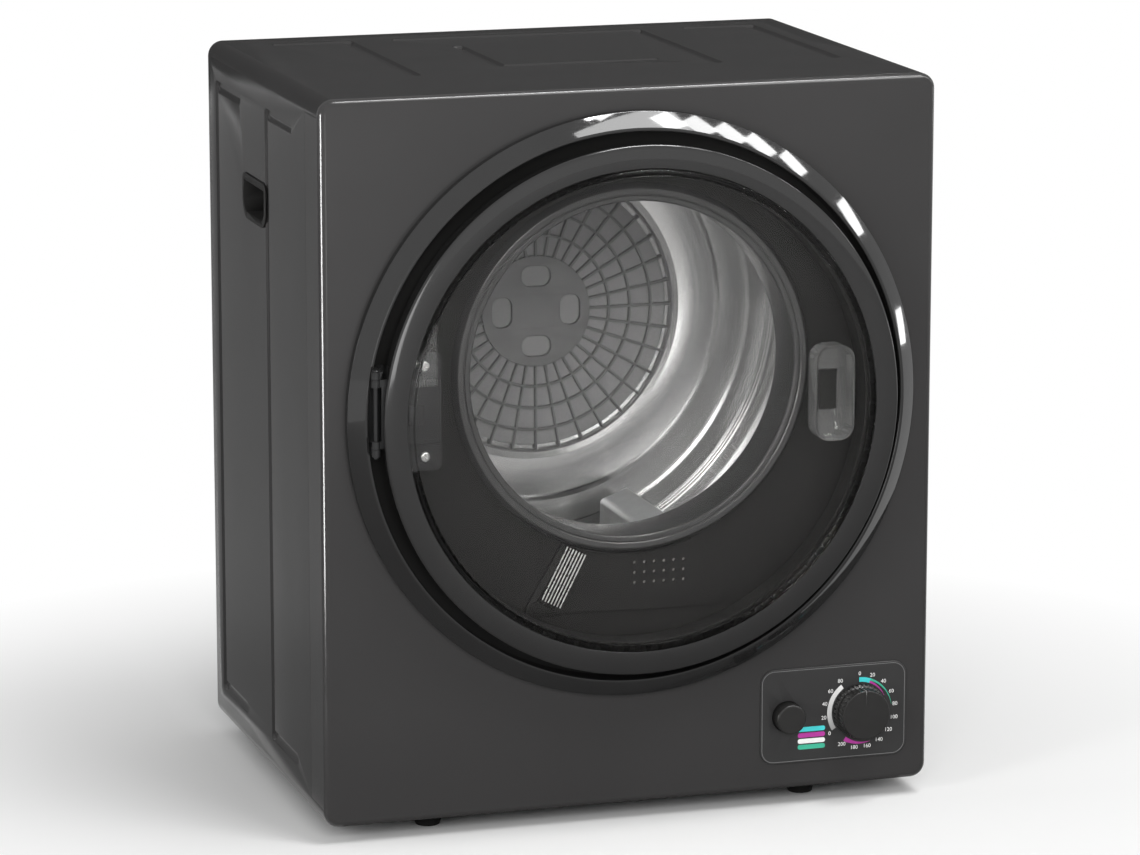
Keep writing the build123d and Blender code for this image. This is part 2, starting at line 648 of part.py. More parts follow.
def feet():
    """Four black cones under the base tray."""
    cone = Cone(FOOT_LOW_RADIUS, FOOT_TOP_RADIUS, TRAY_FLOOR)
    cone = fillet(cone.edges().sort_by(Axis.Z)[0], FOOT_EDGE)
    rows = (FRONT + FOOT_INSET, REAR - FOOT_INSET)
    return [Pos(x, y, TRAY_FLOOR / 2) * cone for x in (-FOOT_SPREAD, FOOT_SPREAD) for y in rows]


# Door

def hinge_gap(right):
    """Room for the hinge leaf through the door's ring and retainer."""
    return block((PIN_X, right), (PIN_Y - CLEAR, LEAF_BACK), (LEAF_LOW - CLEAR, LEAF_HIGH + CLEAR))


def door_ring():
    """The gloss ring that frames the window, open behind, notched on the left for the hinge."""
    face = FRONT - RING_PROUD
    back = FRONT - RING_BACK
    rim_back = DOOR_RADIUS - RING_DRAFT
    section = outline(
        (WINDOW_RADIUS, face),
        (DOOR_RADIUS, face),
        (rim_back, back),
        (rim_back - RING_SKIN, back),
        (DOOR_RADIUS - RING_SKIN, RING_UNDER),
        (WINDOW_RADIUS, RING_UNDER),
    )
    ring = turned(rounded(section, RING_EDGE, (DOOR_RADIUS, face)), DOOR_Z)
    notch = (PIN_X, RING_FACE - WINDOW_RADIUS)
    behind_leaf = (PIN_Y - CLEAR, FRONT)
    return ring - block(notch, behind_leaf, (LEAF_LOW - CLEAR, LEAF_HIGH + CLEAR))


def door_window():
    """Tinted window with a rounded raised edge, and a flange that reaches under the ring."""
    front = FRONT - DOOR_PROUD
    edge = WINDOW_RADIUS - CLEAR
    flange = WINDOW_RADIUS + WINDOW_SEAT
    inner = WINDOW_RADIUS - WINDOW_SEAT
    face = outline(
        (0, front),
        (edge, front),
        (edge, RING_UNDER),
        (flange, RING_UNDER),
        (flange, SEAT_BACK),
        (inner, SEAT_BACK),
        (inner, WINDOW_BACK),
        (0, WINDOW_BACK),
    )
    return turned(rounded(face, WINDOW_EDGE, (edge, front)), DOOR_Z)


def pad_outline(grow=0.0):
    """The hinge pad behind the window, drawn as (x, z)."""
    size = (PAD_WIDTH + 2 * grow, PAD_TALL + 2 * grow)
    return Pos(PAD_MIDDLE_X, HINGE_Z) * RectangleRounded(*size, PAD_CORNER + grow)


def pad_screw_places():
    return [(PAD_MIDDLE_X, HINGE_Z + side * PAD_SCREW_SPREAD / 2) for side in (-1, 1)]


def window_retainer():
    """Inner channel ring that clamps the window, with a boss on the left for the hinge pad."""
    ring = tube(RETAINER_INNER, RETAINER_RADIUS, SEAT_BACK, GASKET_FRONT, DOOR_Z)
    ring -= tube(
        RETAINER_INNER + RETAINER_WALL,
        RETAINER_RADIUS - RETAINER_WALL,
        SEAT_BACK,
        GASKET_FRONT - RETAINER_WALL,
        DOOR_Z,
    )
    ring -= hinge_gap(PAD_MIDDLE_X)
    ring -= prism(pad_outline(CLEAR), SEAT_BACK, LEAF_BACK)
    ring += prism(pad_outline(), LEAF_BACK, LEAF_BACK + BOSS_DEPTH)
    for x, z in pad_screw_places():
        ring -= rod(SCREW_RADIUS, LEAF_BACK, LEAF_BACK + SCREW_LENGTH, z, x)
    return ring


def door_gasket():
    """Soft ring behind the retainer that closes on the bulkhead."""
    back = BULKHEAD_FRONT - CLEAR
    outer = GASKET_INNER + GASKET_WIDTH
    face = outline((GASKET_INNER, GASKET_FRONT), (outer, GASKET_FRONT), (outer, back), (GASKET_INNER, back))
    return turned(rounded(face, GASKET_EDGE, (outer, back), (GASKET_INNER, back)), DOOR_Z)


def pin_cylinder(radius, low, high):
    """Round bar on the hinge line between two heights."""
    return Pos(PIN_X, PIN_Y, (low + high) / 2) * Cylinder(radius, high - low)


def hinge_leaf():
    """The door's half of the hinge: two knuckles, a neck through the ring and a screwed pad."""
    pad_left = PAD_MIDDLE_X - PAD_WIDTH / 2
    neck = block((PIN_X, pad_left + PAD_CORNER), (PIN_Y, LEAF_BACK), (LEAF_LOW, LEAF_HIGH))
    leaf = neck + prism(pad_outline(), PIN_Y, LEAF_BACK)
    middle_low = LEAF_LOW + KNUCKLE_LENGTH
    middle_high = LEAF_HIGH - KNUCKLE_LENGTH
    reach = KNUCKLE_RADIUS + LEAF
    leaf -= block((PIN_X - reach, PIN_X + reach), (PIN_Y - reach, PIN_Y + reach), (middle_low, middle_high))
    for low, high in ((LEAF_LOW, middle_low), (middle_high, LEAF_HIGH)):
        leaf += pin_cylinder(KNUCKLE_RADIUS, low, high)
    leaf -= pin_cylinder(PIN_RADIUS + RUNNING, HINGE_LOW, HINGE_HIGH)
    for x, z in pad_screw_places():
        leaf -= rod(SCREW_RADIUS, PIN_Y, LEAF_BACK, z, x)
    return leaf


def hinge_screws():
    """Two screws through the hinge pad into the retainer's boss."""
    return [screw(PIN_Y, z, x, -1) for x, z in pad_screw_places()]


def hinge_bracket():
    """The cabinet's half of the hinge: a plate on the bulkhead and an arm forward to each outer knuckle."""
    plate_front = BULKHEAD_FRONT - LEAF
    spans = ((HINGE_LOW, HINGE_LOW + KNUCKLE_LENGTH), (HINGE_HIGH - KNUCKLE_LENGTH, HINGE_HIGH))
    lefts = []
    bracket = Part()
    for low, high in spans:
        farthest = max(abs(low - DOOR_Z), abs(high - DOOR_Z))
        left = -math.sqrt((BEZEL_BORE - CLEAR) ** 2 - farthest ** 2)
        left = max(left, PIN_X - ARM_WIDTH / 2)
        lefts.append(left)
        bracket += pin_cylinder(KNUCKLE_RADIUS, low, high)
        bracket += block((left, left + ARM_WIDTH), (PIN_Y, BULKHEAD_FRONT), (low, high))
    plate_left = max(lefts)
    plate = (plate_left, plate_left + FOOT_PLATE_WIDTH)
    bracket += block(plate, (plate_front, BULKHEAD_FRONT), (HINGE_LOW, HINGE_HIGH))
    return bracket - pin_cylinder(PIN_RADIUS, HINGE_LOW, HINGE_HIGH)


def hinge_pin():
    """Pin held by the outer knuckles, with a small head at the top."""
    head = pin_cylinder(PIN_HEAD_RADIUS, HINGE_HIGH, HINGE_HIGH + PIN_HEAD)
    return pin_cylinder(PIN_RADIUS, HINGE_LOW - PIN_HEAD, HINGE_HIGH) + head


def latch_outline(inset):
    size = (LATCH_WIDTH - 2 * inset, LATCH_TALL - 2 * inset)
    return Pos(LATCH_X, LATCH_Z) * RectangleRounded(*size, LATCH_CORNER - inset)


def latch_housing():
    """Clear moulded cup behind the window that carries the latch tongue."""
    cup = prism(latch_outline(0), WINDOW_BACK, LATCH_BACK)
    cup = fillet(cup.faces().sort_by(Axis.Y)[-1].edges(), LATCH_EDGE)
    cup -= prism(latch_outline(LATCH_WALL), WINDOW_BACK, LATCH_BACK - LATCH_WALL)
    return cup - tongue_bar(WINDOW_BACK, TONGUE_BACK)


def tongue_bar(y_front, y_back):
    half_width = TONGUE_WIDTH / 2
    half_tall = TONGUE_TALL / 2
    across = (LATCH_X - half_width, LATCH_X + half_width)
    return block(across, (y_front, y_back), (LATCH_Z - half_tall, LATCH_Z + half_tall))


def latch_tongue():
    """Tongue through the back of the cup, with a foot inside it."""
    foot_back = LATCH_BACK - LATCH_WALL
    foot_front = foot_back - TONGUE_PLATE
    foot = Pos(LATCH_X, LATCH_Z) * Rectangle(TONGUE_WIDTH + 2 * TONGUE_FOOT, TONGUE_TALL + 2 * TONGUE_FOOT)
    tongue = tongue_bar(foot_front, TONGUE_BACK) + prism(foot, foot_front, foot_back)
    tip = tongue.faces().sort_by(Axis.Y)[-1].edges()
    return fillet(tip, TONGUE_EDGE)


# Bulkhead and drum mouth

def filter_outline(inset):
    """The lint opening: wider below, with a top that follows the mouth ring, as (x, z)."""
    low = FILTER_LOW_Z + inset
    slope = (FILTER_LOW_WIDTH - FILTER_TOP_WIDTH) / 2 / (FILTER_HIGH_Z - FILTER_LOW_Z)
    half_low = FILTER_LOW_WIDTH / 2 - inset * (1 + slope)
    half_high = FILTER_TOP_WIDTH / 2 - inset
    corners = ((FILTER_X - half_low, low), (FILTER_X + half_low, low))
    face = outline(*corners, (FILTER_X + half_high, FILTER_HIGH_Z), (FILTER_X - half_high, FILTER_HIGH_Z))
    face = rounded(face, FILTER_CORNER, *corners)
    return face - Pos(0, DRUM_Z) * Circle(MOUTH_RING_RADIUS + CLEAR + inset)


def latch_slot():
    """Slot for the tongue, longer to the right because the tongue swings out that way."""
    half_tall = TONGUE_TALL / 2 + SLOT_ROOM
    left = LATCH_X - TONGUE_WIDTH / 2 - SLOT_ROOM / 2
    right = LATCH_X + TONGUE_WIDTH / 2 + SLOT_ROOM
    return (left, right), (LATCH_Z - half_tall, LATCH_Z + half_tall)


def front_bulkhead():
    """Black plate behind the door with the drum mouth, the lint opening and the latch slot."""
    disc = rod(BULKHEAD_RADIUS, BULKHEAD_FRONT, BULKHEAD_REAR, DOOR_Z)
    disc += tube(BULKHEAD_RADIUS - BULKHEAD_RIM, BULKHEAD_RADIUS, PANEL_BACK, BULKHEAD_FRONT, DOOR_Z)
    disc -= rod(MOUTH_TUBE_RADIUS + CLEAR, BULKHEAD_FRONT, BULKHEAD_REAR, DRUM_Z)
    disc -= prism(filter_outline(FILTER_LIP), BULKHEAD_FRONT, BULKHEAD_REAR)
    across, up = latch_slot()
    return disc - block(across, (BULKHEAD_FRONT, BULKHEAD_REAR), up)


def mouth_ring():
    """Light ring round the drum mouth: a rounded lip in front and a tube back into the drum's neck."""
    front = BULKHEAD_FRONT - MOUTH_PROUD
    back = FRONT + MOUTH_TUBE
    lip_inner = (MOUTH_RADIUS, front)
    lip_outer = (MOUTH_RING_RADIUS - MOUTH_PROUD, front)
    face = outline(
        lip_inner,
        lip_outer,
        (MOUTH_RING_RADIUS, BULKHEAD_FRONT),
        (MOUTH_TUBE_RADIUS, BULKHEAD_FRONT),
        (MOUTH_TUBE_RADIUS, back),
        (MOUTH_RADIUS, back),
    )
    return turned(rounded(face, MOUTH_EDGE, lip_inner, lip_outer), DRUM_Z)


def front_felt():
    """Felt band on the mouth tube that the drum's neck turns on."""
    return tube(MOUTH_TUBE_RADIUS, FELT_RADIUS, FRONT + NECK_FRONT, NECK_BACK, DRUM_Z)


def lint_cover():
    """Cover over the lint opening, with fine ribs along its left edge and small holes near its top."""
    cover = prism(filter_outline(0), COVER_FRONT, BULKHEAD_FRONT)
    slope_x = (FILTER_LOW_WIDTH - FILTER_TOP_WIDTH) / 2
    slope_z = FILTER_HIGH_Z - FILTER_LOW_Z
    lean = math.atan2(slope_x, slope_z)
    upward = (math.sin(lean), math.cos(lean))
    corner = (FILTER_X - FILTER_LOW_WIDTH / 2, FILTER_LOW_Z)
    for k in range(RIB_COUNT):
        inward = RIB_MARGIN + k * RIB_PITCH
        low_x = corner[0] + inward * upward[1] + RIB_RISE * upward[0]
        low_z = corner[1] - inward * upward[0] + RIB_RISE * upward[1]
        high = (low_x + FILTER_DROP * upward[0], low_z + FILTER_DROP * upward[1])
        cover += prism(stroke(((low_x, low_z), high), RIB_WIDTH), COVER_FRONT - RIB_HEIGHT, COVER_FRONT)
    top_row = DRUM_Z - MOUTH_RING_RADIUS - HOLE_PITCH
    middle_x = FILTER_X + HOLE_SHIFT
    for row in range(HOLE_ROWS):
        for x in spread(HOLE_COLUMNS, HOLE_PITCH * (HOLE_COLUMNS - 1) / 2):
            cover -= rod(HOLE_RADIUS, COVER_FRONT, BULKHEAD_FRONT, top_row - row * HOLE_PITCH, middle_x + x)
    return cover


def lint_filter():
    """Flat filter pad in the lint opening, behind the cover."""
    return prism(filter_outline(FILTER_LIP + CLEAR), BULKHEAD_FRONT, BULKHEAD_REAR)


def door_catch():
    """Catch block behind the bulkhead with a pocket for the tongue."""
    (left, right), (low, high) = latch_slot()
    back = TONGUE_BACK + SLOT_ROOM
    outer = block(
        (left - CATCH_WALL, right + CATCH_WALL),
        (BULKHEAD_REAR, back + CATCH_WALL),
        (low - CATCH_WALL, high + CATCH_WALL),
    )
    return outer - block((left, right), (BULKHEAD_REAR, back), (low, high))


def door_switch():
    """Small switch on the right of the catch."""
    left = latch_slot()[0][1] + CATCH_WALL
    width, depth, tall = SWITCH_BOX
    up = (LATCH_Z - tall / 2, LATCH_Z + tall / 2)
    return block((left, left + width), (BULKHEAD_REAR, BULKHEAD_REAR + depth), up)


# Drum

def drum_shell():
    """Steel drum wall with rolled rings, drawn as an outer outline less an inner one."""
    middle = (DRUM_START + DRUM_INSIDE_BACK) / 2
    length = DRUM_INSIDE_BACK - DRUM_START
    thick = 2 * ROLL_RADIUS
    outer = Pos(DRUM_RADIUS - thick / 2, middle) * Rectangle(thick, length)
    inner = Pos(DRUM_INNER - thick / 2, middle) * Rectangle(thick, length)
    for depth in ROLL_DEPTHS:
        centre = Pos(DRUM_RADIUS + ROLL_PROUD - ROLL_RADIUS, FRONT + depth)
        outer += centre * Circle(ROLL_RADIUS)
        inner += centre * Circle(ROLL_RADIUS - DRUM_SHEET)
    return turned(outer - inner, DRUM_Z)


def drum_front():
    """Neck that runs on the felt, and a cone out to the drum wall."""
    neck_front = FRONT + NECK_FRONT
    neck_outer = NECK_RADIUS + DRUM_SHEET
    return turned(
        outline(
            (NECK_RADIUS, neck_front),
            (neck_outer, neck_front),
            (neck_outer, NECK_BACK - DRUM_SHEET),
            (DRUM_RADIUS, DRUM_START - DRUM_SHEET),
            (DRUM_RADIUS, DRUM_START),
            (NECK_RADIUS, NECK_BACK),
        ),
        DRUM_Z,
    )


def drum_back():
    """Flat steel annulus that closes the drum round the grille."""
    return tube(BACK_OPENING, DRUM_RADIUS, DRUM_INSIDE_BACK, DRUM_REAR, DRUM_Z)


def rear_grille():
    """Polar grid in the middle of the drum's back, with a hub of rounded windows."""
    step = (GRILLE_RADIUS - GRILLE_HUB) / GRILLE_RINGS
    rings = [
        Circle(GRILLE_HUB + k * step) - Circle(GRILLE_HUB + k * step - GRILLE_RIB)
        for k in range(1, GRILLE_RINGS + 1)
    ]
    reach = GRILLE_RADIUS - GRILLE_HUB
    spoke = Pos(GRILLE_HUB + reach / 2 - GRILLE_RIB / 2, 0) * Rectangle(reach, GRILLE_RIB)
    spokes = [Rot(0, 0, k * 360 / GRILLE_SPOKES) * spoke for k in range(GRILLE_SPOKES)]
    hub = Circle(GRILLE_HUB)
    window = RectangleRounded(HUB_WINDOW_WIDTH, HUB_WINDOW_LENGTH, HUB_WINDOW_CORNER)
    window = Pos(HUB_WINDOW_OFFSET, 0) * window
    for k in range(HUB_WINDOWS):
        hub -= Rot(0, 0, k * 360 / HUB_WINDOWS) * window
    grid = Sketch() + rings + spokes + hub
    return prism(Pos(0, DRUM_Z) * grid, DRUM_INSIDE_BACK - GRILLE_THICKNESS, DRUM_INSIDE_BACK)


def grille_net():
    """Fine filter net across the opening in the drum's back, behind the grille."""
    return rod(BACK_OPENING - CLEAR, DRUM_INSIDE_BACK, DRUM_INSIDE_BACK + NET_THICKNESS, DRUM_Z)


def lifter_form(inset):
    """Outer or inner form of one paddle, standing on its own base plane."""
    foot = Rectangle(LIFTER_WIDTH - 2 * inset, LIFTER_LENGTH - 2 * inset)
    form = extrude(foot, LIFTER_HEIGHT + DRUM_SHEET - inset, taper=LIFTER_DRAFT)
    return fillet(form.faces().sort_by(Axis.Z)[-1].edges(), LIFTER_EDGE - inset)


def lifters():
    """Hollow paddles on the drum wall that tumble the load."""
    paddle = lifter_form(0) - lifter_form(LIFTER_WALL)
    middle_y = (DRUM_START + DRUM_INSIDE_BACK) / 2
    wall = rod(DRUM_INNER - RUNNING, DRUM_START, DRUM_INSIDE_BACK, 0)
    made = []
    for k in range(LIFTER_COUNT):
        turn = LIFTER_ANGLE + k * 360 / LIFTER_COUNT
        out = (math.cos(math.radians(turn)), math.sin(math.radians(turn)))
        seat = (out[0] * DRUM_RADIUS, middle_y, out[1] * DRUM_RADIUS)
        place = Plane(origin=seat, x_dir=(-out[1], 0, out[0]), z_dir=(-out[0], 0, -out[1]))
        made.append(Pos(0, 0, DRUM_Z) * ((place * paddle) & wall))
    return made


def drum_spider():
    """Three-armed casting behind the drum's back that holds the shaft."""
    reach = BACK_OPENING + SPIDER_LAP
    arm = Pos(reach / 2, 0) * Rectangle(reach, SPIDER_ARM_WIDTH)
    star = Circle(SPIDER_HUB_RADIUS)
    for k in range(SPIDER_ARMS):
        star += Rot(0, 0, 90 + k * 360 / SPIDER_ARMS) * arm
    spider = prism(Pos(0, DRUM_Z) * star, DRUM_REAR, DRUM_REAR + SPIDER_THICKNESS)
    spider += rod(SPIDER_HUB_RADIUS, DRUM_REAR, DRUM_REAR + SPIDER_HUB_LENGTH, DRUM_Z)
    return spider - rod(SHAFT_RADIUS, DRUM_REAR, DRUM_REAR + SPIDER_HUB_LENGTH, DRUM_Z)


def drum_shaft():
    return rod(SHAFT_RADIUS, DRUM_REAR, BEARING_REAR + SHAFT_TAIL, DRUM_Z)


# Back of the cabinet

def drum_bearing():
    return tube(SHAFT_RADIUS + RUNNING, BEARING_RADIUS, BEARING_FRONT, BEARING_REAR, DRUM_Z)


def bearing_carrier():
    """Drawn steel cup that holds the bearing in front of the rear panel."""
    rim = CARRIER_RADIUS + CARRIER_FLANGE
    cup = outline(
        (BEARING_RADIUS, BEARING_FRONT),
        (BEARING_RADIUS + CARRIER_SHEET, BEARING_FRONT),
        (BEARING_RADIUS + CARRIER_SHEET, BEARING_REAR),
        (CARRIER_NOSE, BEARING_REAR),
        (CARRIER_RADIUS, REAR_INSIDE - CARRIER_SHEET),
        (rim, REAR_INSIDE - CARRIER_SHEET),
        (rim, REAR_INSIDE),
        (CARRIER_RADIUS - CARRIER_SHEET, REAR_INSIDE),
        (CARRIER_NOSE - CARRIER_SHEET, BEARING_REAR + CARRIER_SHEET),
        (SHAFT_RADIUS + SHAFT_TAIL, BEARING_REAR + CARRIER_SHEET),
        (SHAFT_RADIUS + SHAFT_TAIL, BEARING_REAR),
        (BEARING_RADIUS, BEARING_REAR),
    )
    return turned(cup, DRUM_Z)


def rear_air_ring():
    """Sheet ring that leads the heated air from the rear panel to the drum's back."""
    outer = AIR_RING_RADIUS + AIR_RING_SHEET
    front = DRUM_REAR + CLEAR + REAR_FELT_DEPTH
    flange_front = REAR_INSIDE - AIR_RING_SHEET
    return turned(
        outline(
            (AIR_RING_RADIUS, front),
            (outer, front),
            (outer, flange_front),
            (outer + AIR_RING_FLANGE, flange_front),
            (outer + AIR_RING_FLANGE, REAR_INSIDE),
            (AIR_RING_RADIUS, REAR_INSIDE),
        ),
        DRUM_Z,
    )


def rear_felt():
    """Felt ring on the front edge of the air ring, just clear of the turning drum."""
    front = DRUM_REAR + CLEAR
    middle = AIR_RING_RADIUS + AIR_RING_SHEET / 2
    return tube(
        middle - REAR_FELT_WIDTH / 2, middle + REAR_FELT_WIDTH / 2, front, front + REAR_FELT_DEPTH, DRUM_Z
    )


def louvre_places():
    """Middles of the louvre slots, in front of the heater, as (x, z)."""
    columns = spread(LOUVRE_COLUMNS, LOUVRE_SPREAD / 2)
    rows = spread(LOUVRE_ROWS, LOUVRE_PITCH * (LOUVRE_ROWS - 1) / 2)
    return [(x, HEATER_Z + z) for x in columns for z in rows]


def rear_panel():
    """Screwed-on back with pressed louvres, the exhaust hole and the cord gland's hole."""
    panel = prism(cabinet_outline(SHEET / 2), REAR_INSIDE, REAR)
    panel -= rod(COLLAR_BORE, REAR_INSIDE, REAR, COLLAR_Z, COLLAR_X)
    panel -= rod(GLAND_RADIUS + CLEAR, REAR_INSIDE, REAR, FLOOR + GLAND_RISE, GLAND_SIDE - HALF)
    for x, z in rear_screw_places():
        panel -= rod(SCREW_RADIUS + CLEAR, REAR_INSIDE, REAR, z, x)
    high = (0, LOUVRE_SLOT)
    low = (LOUVRE_HOOD, 0)
    hood_section = outline(high, low, (low[0], low[1] - SHEET), (high[0], high[1] - SHEET))
    place = Plane(origin=(0, REAR, 0), x_dir=(0, 1, 0), z_dir=(1, 0, 0))
    hood = place * extrude(hood_section, LOUVRE_LENGTH / 2, both=True)
    for x, z in louvre_places():
        slot = (z - LOUVRE_SLOT / 2, z + LOUVRE_SLOT / 2)
        panel -= block((x - LOUVRE_LENGTH / 2, x + LOUVRE_LENGTH / 2), (REAR_INSIDE, REAR), slot)
        panel += Pos(x, 0, z - LOUVRE_SLOT / 2 + SHEET) * hood
    return panel


def rear_screws():
    return [screw(REAR, z, x, 1) for x, z in rear_screw_places()]


def cord_gland():
    """Bush in the rear panel for the mains lead."""
    x = GLAND_SIDE - HALF
    z = FLOOR + GLAND_RISE
    gland = rod(GLAND_RADIUS, REAR_INSIDE - GLAND_FLANGE, REAR, z, x)
    gland += rod(GLAND_RADIUS + GLAND_FLANGE, REAR, REAR + GLAND_FLANGE, z, x)
    nose = Plane(origin=(x, REAR + GLAND_FLANGE, z), x_dir=(1, 0, 0), z_dir=(0, 1, 0))
    cone = Pos(0, 0, GLAND_PROUD / 2) * Cone(GLAND_RADIUS, GLAND_TIP, GLAND_PROUD)
    gland += nose * cone
    return gland - rod(GLAND_BORE, REAR_INSIDE - GLAND_FLANGE, REAR + GLAND_FLANGE + GLAND_PROUD, z, x)


def heater_ranges(inset):
    half = HEATER_WIDTH / 2 - inset
    tall = HEATER_TALL / 2 - inset
    return (-half, half), (HEATER_Z - tall, HEATER_Z + tall)


def heater_frame():
    """Open sheet frame round the heater, with two legs back to the rear panel."""
    across, up = heater_ranges(0)
    frame = block(across, (HEATER_Y, HEATER_REAR), up)
    inner_across, inner_up = heater_ranges(HEATER_WALL)
    frame -= block(inner_across, (HEATER_Y, HEATER_REAR), inner_up)
    for side in (-1, 1):
        x = sorted((side * HEATER_WIDTH / 2, side * (HEATER_WIDTH / 2 - HEATER_WALL)))
        frame += block(x, (HEATER_REAR, REAR_INSIDE), up)
    return frame


def heater_core():
    """Flat heating tubes with upright fins between them."""
    across, up = heater_ranges(HEATER_WALL)
    deep = (HEATER_Y + HEATER_WALL, HEATER_REAR - HEATER_WALL)
    tube_deep = (HEATER_MIDDLE - HEATER_TUBE_DEPTH / 2, HEATER_MIDDLE + HEATER_TUBE_DEPTH / 2)
    room = (up[1] - up[0] - HEATER_TUBE) / 2
    core = Part()
    for z in spread(HEATER_TUBES, room):
        core += block(across, tube_deep, (HEATER_Z + z - HEATER_TUBE / 2, HEATER_Z + z + HEATER_TUBE / 2))
    reach = across[1] - HEATER_FIN
    for x in spread(HEATER_FINS, reach):
        core += block((x - HEATER_FIN / 2, x + HEATER_FIN / 2), deep, up)
    return core


def thermostats():
    """Two disc thermostats on top of the heater frame."""
    seat = HEATER_Z + HEATER_TALL / 2
    disc = Cylinder(THERMOSTAT_RADIUS, THERMOSTAT_HEIGHT)
    disc = fillet(disc.edges().sort_by(Axis.Z)[-1], THERMOSTAT_EDGE)
    z = seat + THERMOSTAT_HEIGHT / 2
    return [Pos(x, HEATER_MIDDLE, z) * disc for x in spread(2, THERMOSTAT_SPREAD / 2)]


# Motor, blower and ducts

def volute_outline(inset, overrun=0.0):
    """Spiral blower section as (x, z): it widens from right over the top to the mouth at lower right."""
    def on_spiral(turn):
        radius = VOLUTE_RADIUS + VOLUTE_GROWTH * turn / 360 - inset
        angle = math.radians(turn)
        return (MOTOR_X + radius * math.cos(angle), MOTOR_Z + radius * math.sin(angle))

    step = VOLUTE_END / VOLUTE_ARCS
    starts = [k * step for k in range(VOLUTE_ARCS)]
    arcs = [ThreePointArc(on_spiral(a), on_spiral(a + step / 2), on_spiral(a + step)) for a in starts]
    start = on_spiral(0)
    low = on_spiral(VOLUTE_END)
    mouth = OUTLET_X + overrun
    top = OUTLET_TOP - inset
    rest = Polyline(low, (mouth, low[1]), (mouth, top), (start[0], top), start)
    return make_face(Curve() + arcs + rest)


def blower_housing():
    """Spiral housing, open in front for the inlet and at lower right for the outlet."""
    housing = prism(volute_outline(0), VOLUTE_Y, VOLUTE_REAR)
    room = volute_outline(VOLUTE_WALL, overrun=VOLUTE_WALL)
    housing -= prism(room, VOLUTE_Y + VOLUTE_WALL, VOLUTE_REAR - VOLUTE_WALL)
    housing -= rod(INLET_RADIUS, VOLUTE_Y, VOLUTE_Y + VOLUTE_WALL, MOTOR_Z, MOTOR_X)
    back_wall = VOLUTE_REAR - VOLUTE_WALL
    return housing - rod(MOTOR_SHAFT_RADIUS + SLIDE, back_wall, VOLUTE_REAR, MOTOR_Z, MOTOR_X)


def fan_impeller():
    """Squirrel-cage fan: a back plate with a hub and leaning blades joined by a front rim."""
    back = FAN_Y + FAN_WIDTH
    fan = rod(FAN_RADIUS, back - FAN_PLATE, back, MOTOR_Z, MOTOR_X)
    fan += rod(FAN_HUB_RADIUS, back - FAN_HUB_LENGTH, back, MOTOR_Z, MOTOR_X)
    fan += tube(FAN_RADIUS - FAN_BLADE, FAN_RADIUS, FAN_Y, FAN_Y + FAN_PLATE, MOTOR_Z, MOTOR_X)
    strip = Rectangle(FAN_BLADE_DEPTH, FAN_BLADE, rotation=FAN_BLADE_LEAN)
    blade = Pos(FAN_RADIUS - FAN_BLADE_DEPTH / 2, 0) * strip
    inside = Circle(FAN_RADIUS)
    blades = Sketch() + [Rot(0, 0, k * 360 / FAN_BLADES) * blade for k in range(FAN_BLADES)]
    fan += prism(Pos(MOTOR_X, MOTOR_Z) * (blades & inside), FAN_Y, back - FAN_PLATE)
    return fan - rod(MOTOR_SHAFT_RADIUS, FAN_Y, back, MOTOR_Z, MOTOR_X)


def motor_body():
    """Motor can with stepped end bells, bored for its shaft."""
    rear = MOTOR_Y + MOTOR_LENGTH
    bore = MOTOR_SHAFT_RADIUS + RUNNING
    return turned(
        outline(
            (bore, MOTOR_Y),
            (MOTOR_BELL_RADIUS, MOTOR_Y),
            (MOTOR_BELL_RADIUS, MOTOR_Y + MOTOR_BELL),
            (MOTOR_RADIUS, MOTOR_Y + MOTOR_BELL),
            (MOTOR_RADIUS, rear - MOTOR_BELL),
            (MOTOR_BELL_RADIUS, rear - MOTOR_BELL),
            (MOTOR_BELL_RADIUS, rear),
            (bore, rear),
        ),
        MOTOR_Z,
        MOTOR_X,
    )


def motor_bracket():
    """Two saddles and a foot plate that hold the motor on the base tray."""
    half = BRACKET_WIDTH / 2
    across = (MOTOR_X - half, MOTOR_X + half)
    first = MOTOR_Y + MOTOR_BELL + BRACKET_INSET
    last = MOTOR_Y + MOTOR_LENGTH - MOTOR_BELL - BRACKET_INSET
    bracket = block(across, (first, last), (TRAY_TOP, TRAY_TOP + BRACKET_PLATE))
    for start in (first, last - BRACKET_PLATE):
        bracket += block(across, (start, start + BRACKET_PLATE), (TRAY_TOP, MOTOR_Z - BRACKET_DROP))
    return bracket - rod(MOTOR_RADIUS, MOTOR_Y, MOTOR_Y + MOTOR_LENGTH, MOTOR_Z, MOTOR_X)


def motor_shaft():
    return rod(MOTOR_SHAFT_RADIUS, FAN_Y, PULLEY_Y + PULLEY_WIDTH + MOTOR_SHAFT_TAIL, MOTOR_Z, MOTOR_X)


def motor_pulley():
    """Small belt pulley with a flange at each end."""
    rim = PULLEY_RADIUS + PULLEY_FLANGE
    back = PULLEY_Y + PULLEY_WIDTH
    section = outline(
        (MOTOR_SHAFT_RADIUS, PULLEY_Y),
        (rim, PULLEY_Y),
        (PULLEY_RADIUS, PULLEY_Y + PULLEY_RIM),
        (PULLEY_RADIUS, back - PULLEY_RIM),
        (rim, back),
        (MOTOR_SHAFT_RADIUS, back),
    )
    return turned(section, MOTOR_Z, MOTOR_X)


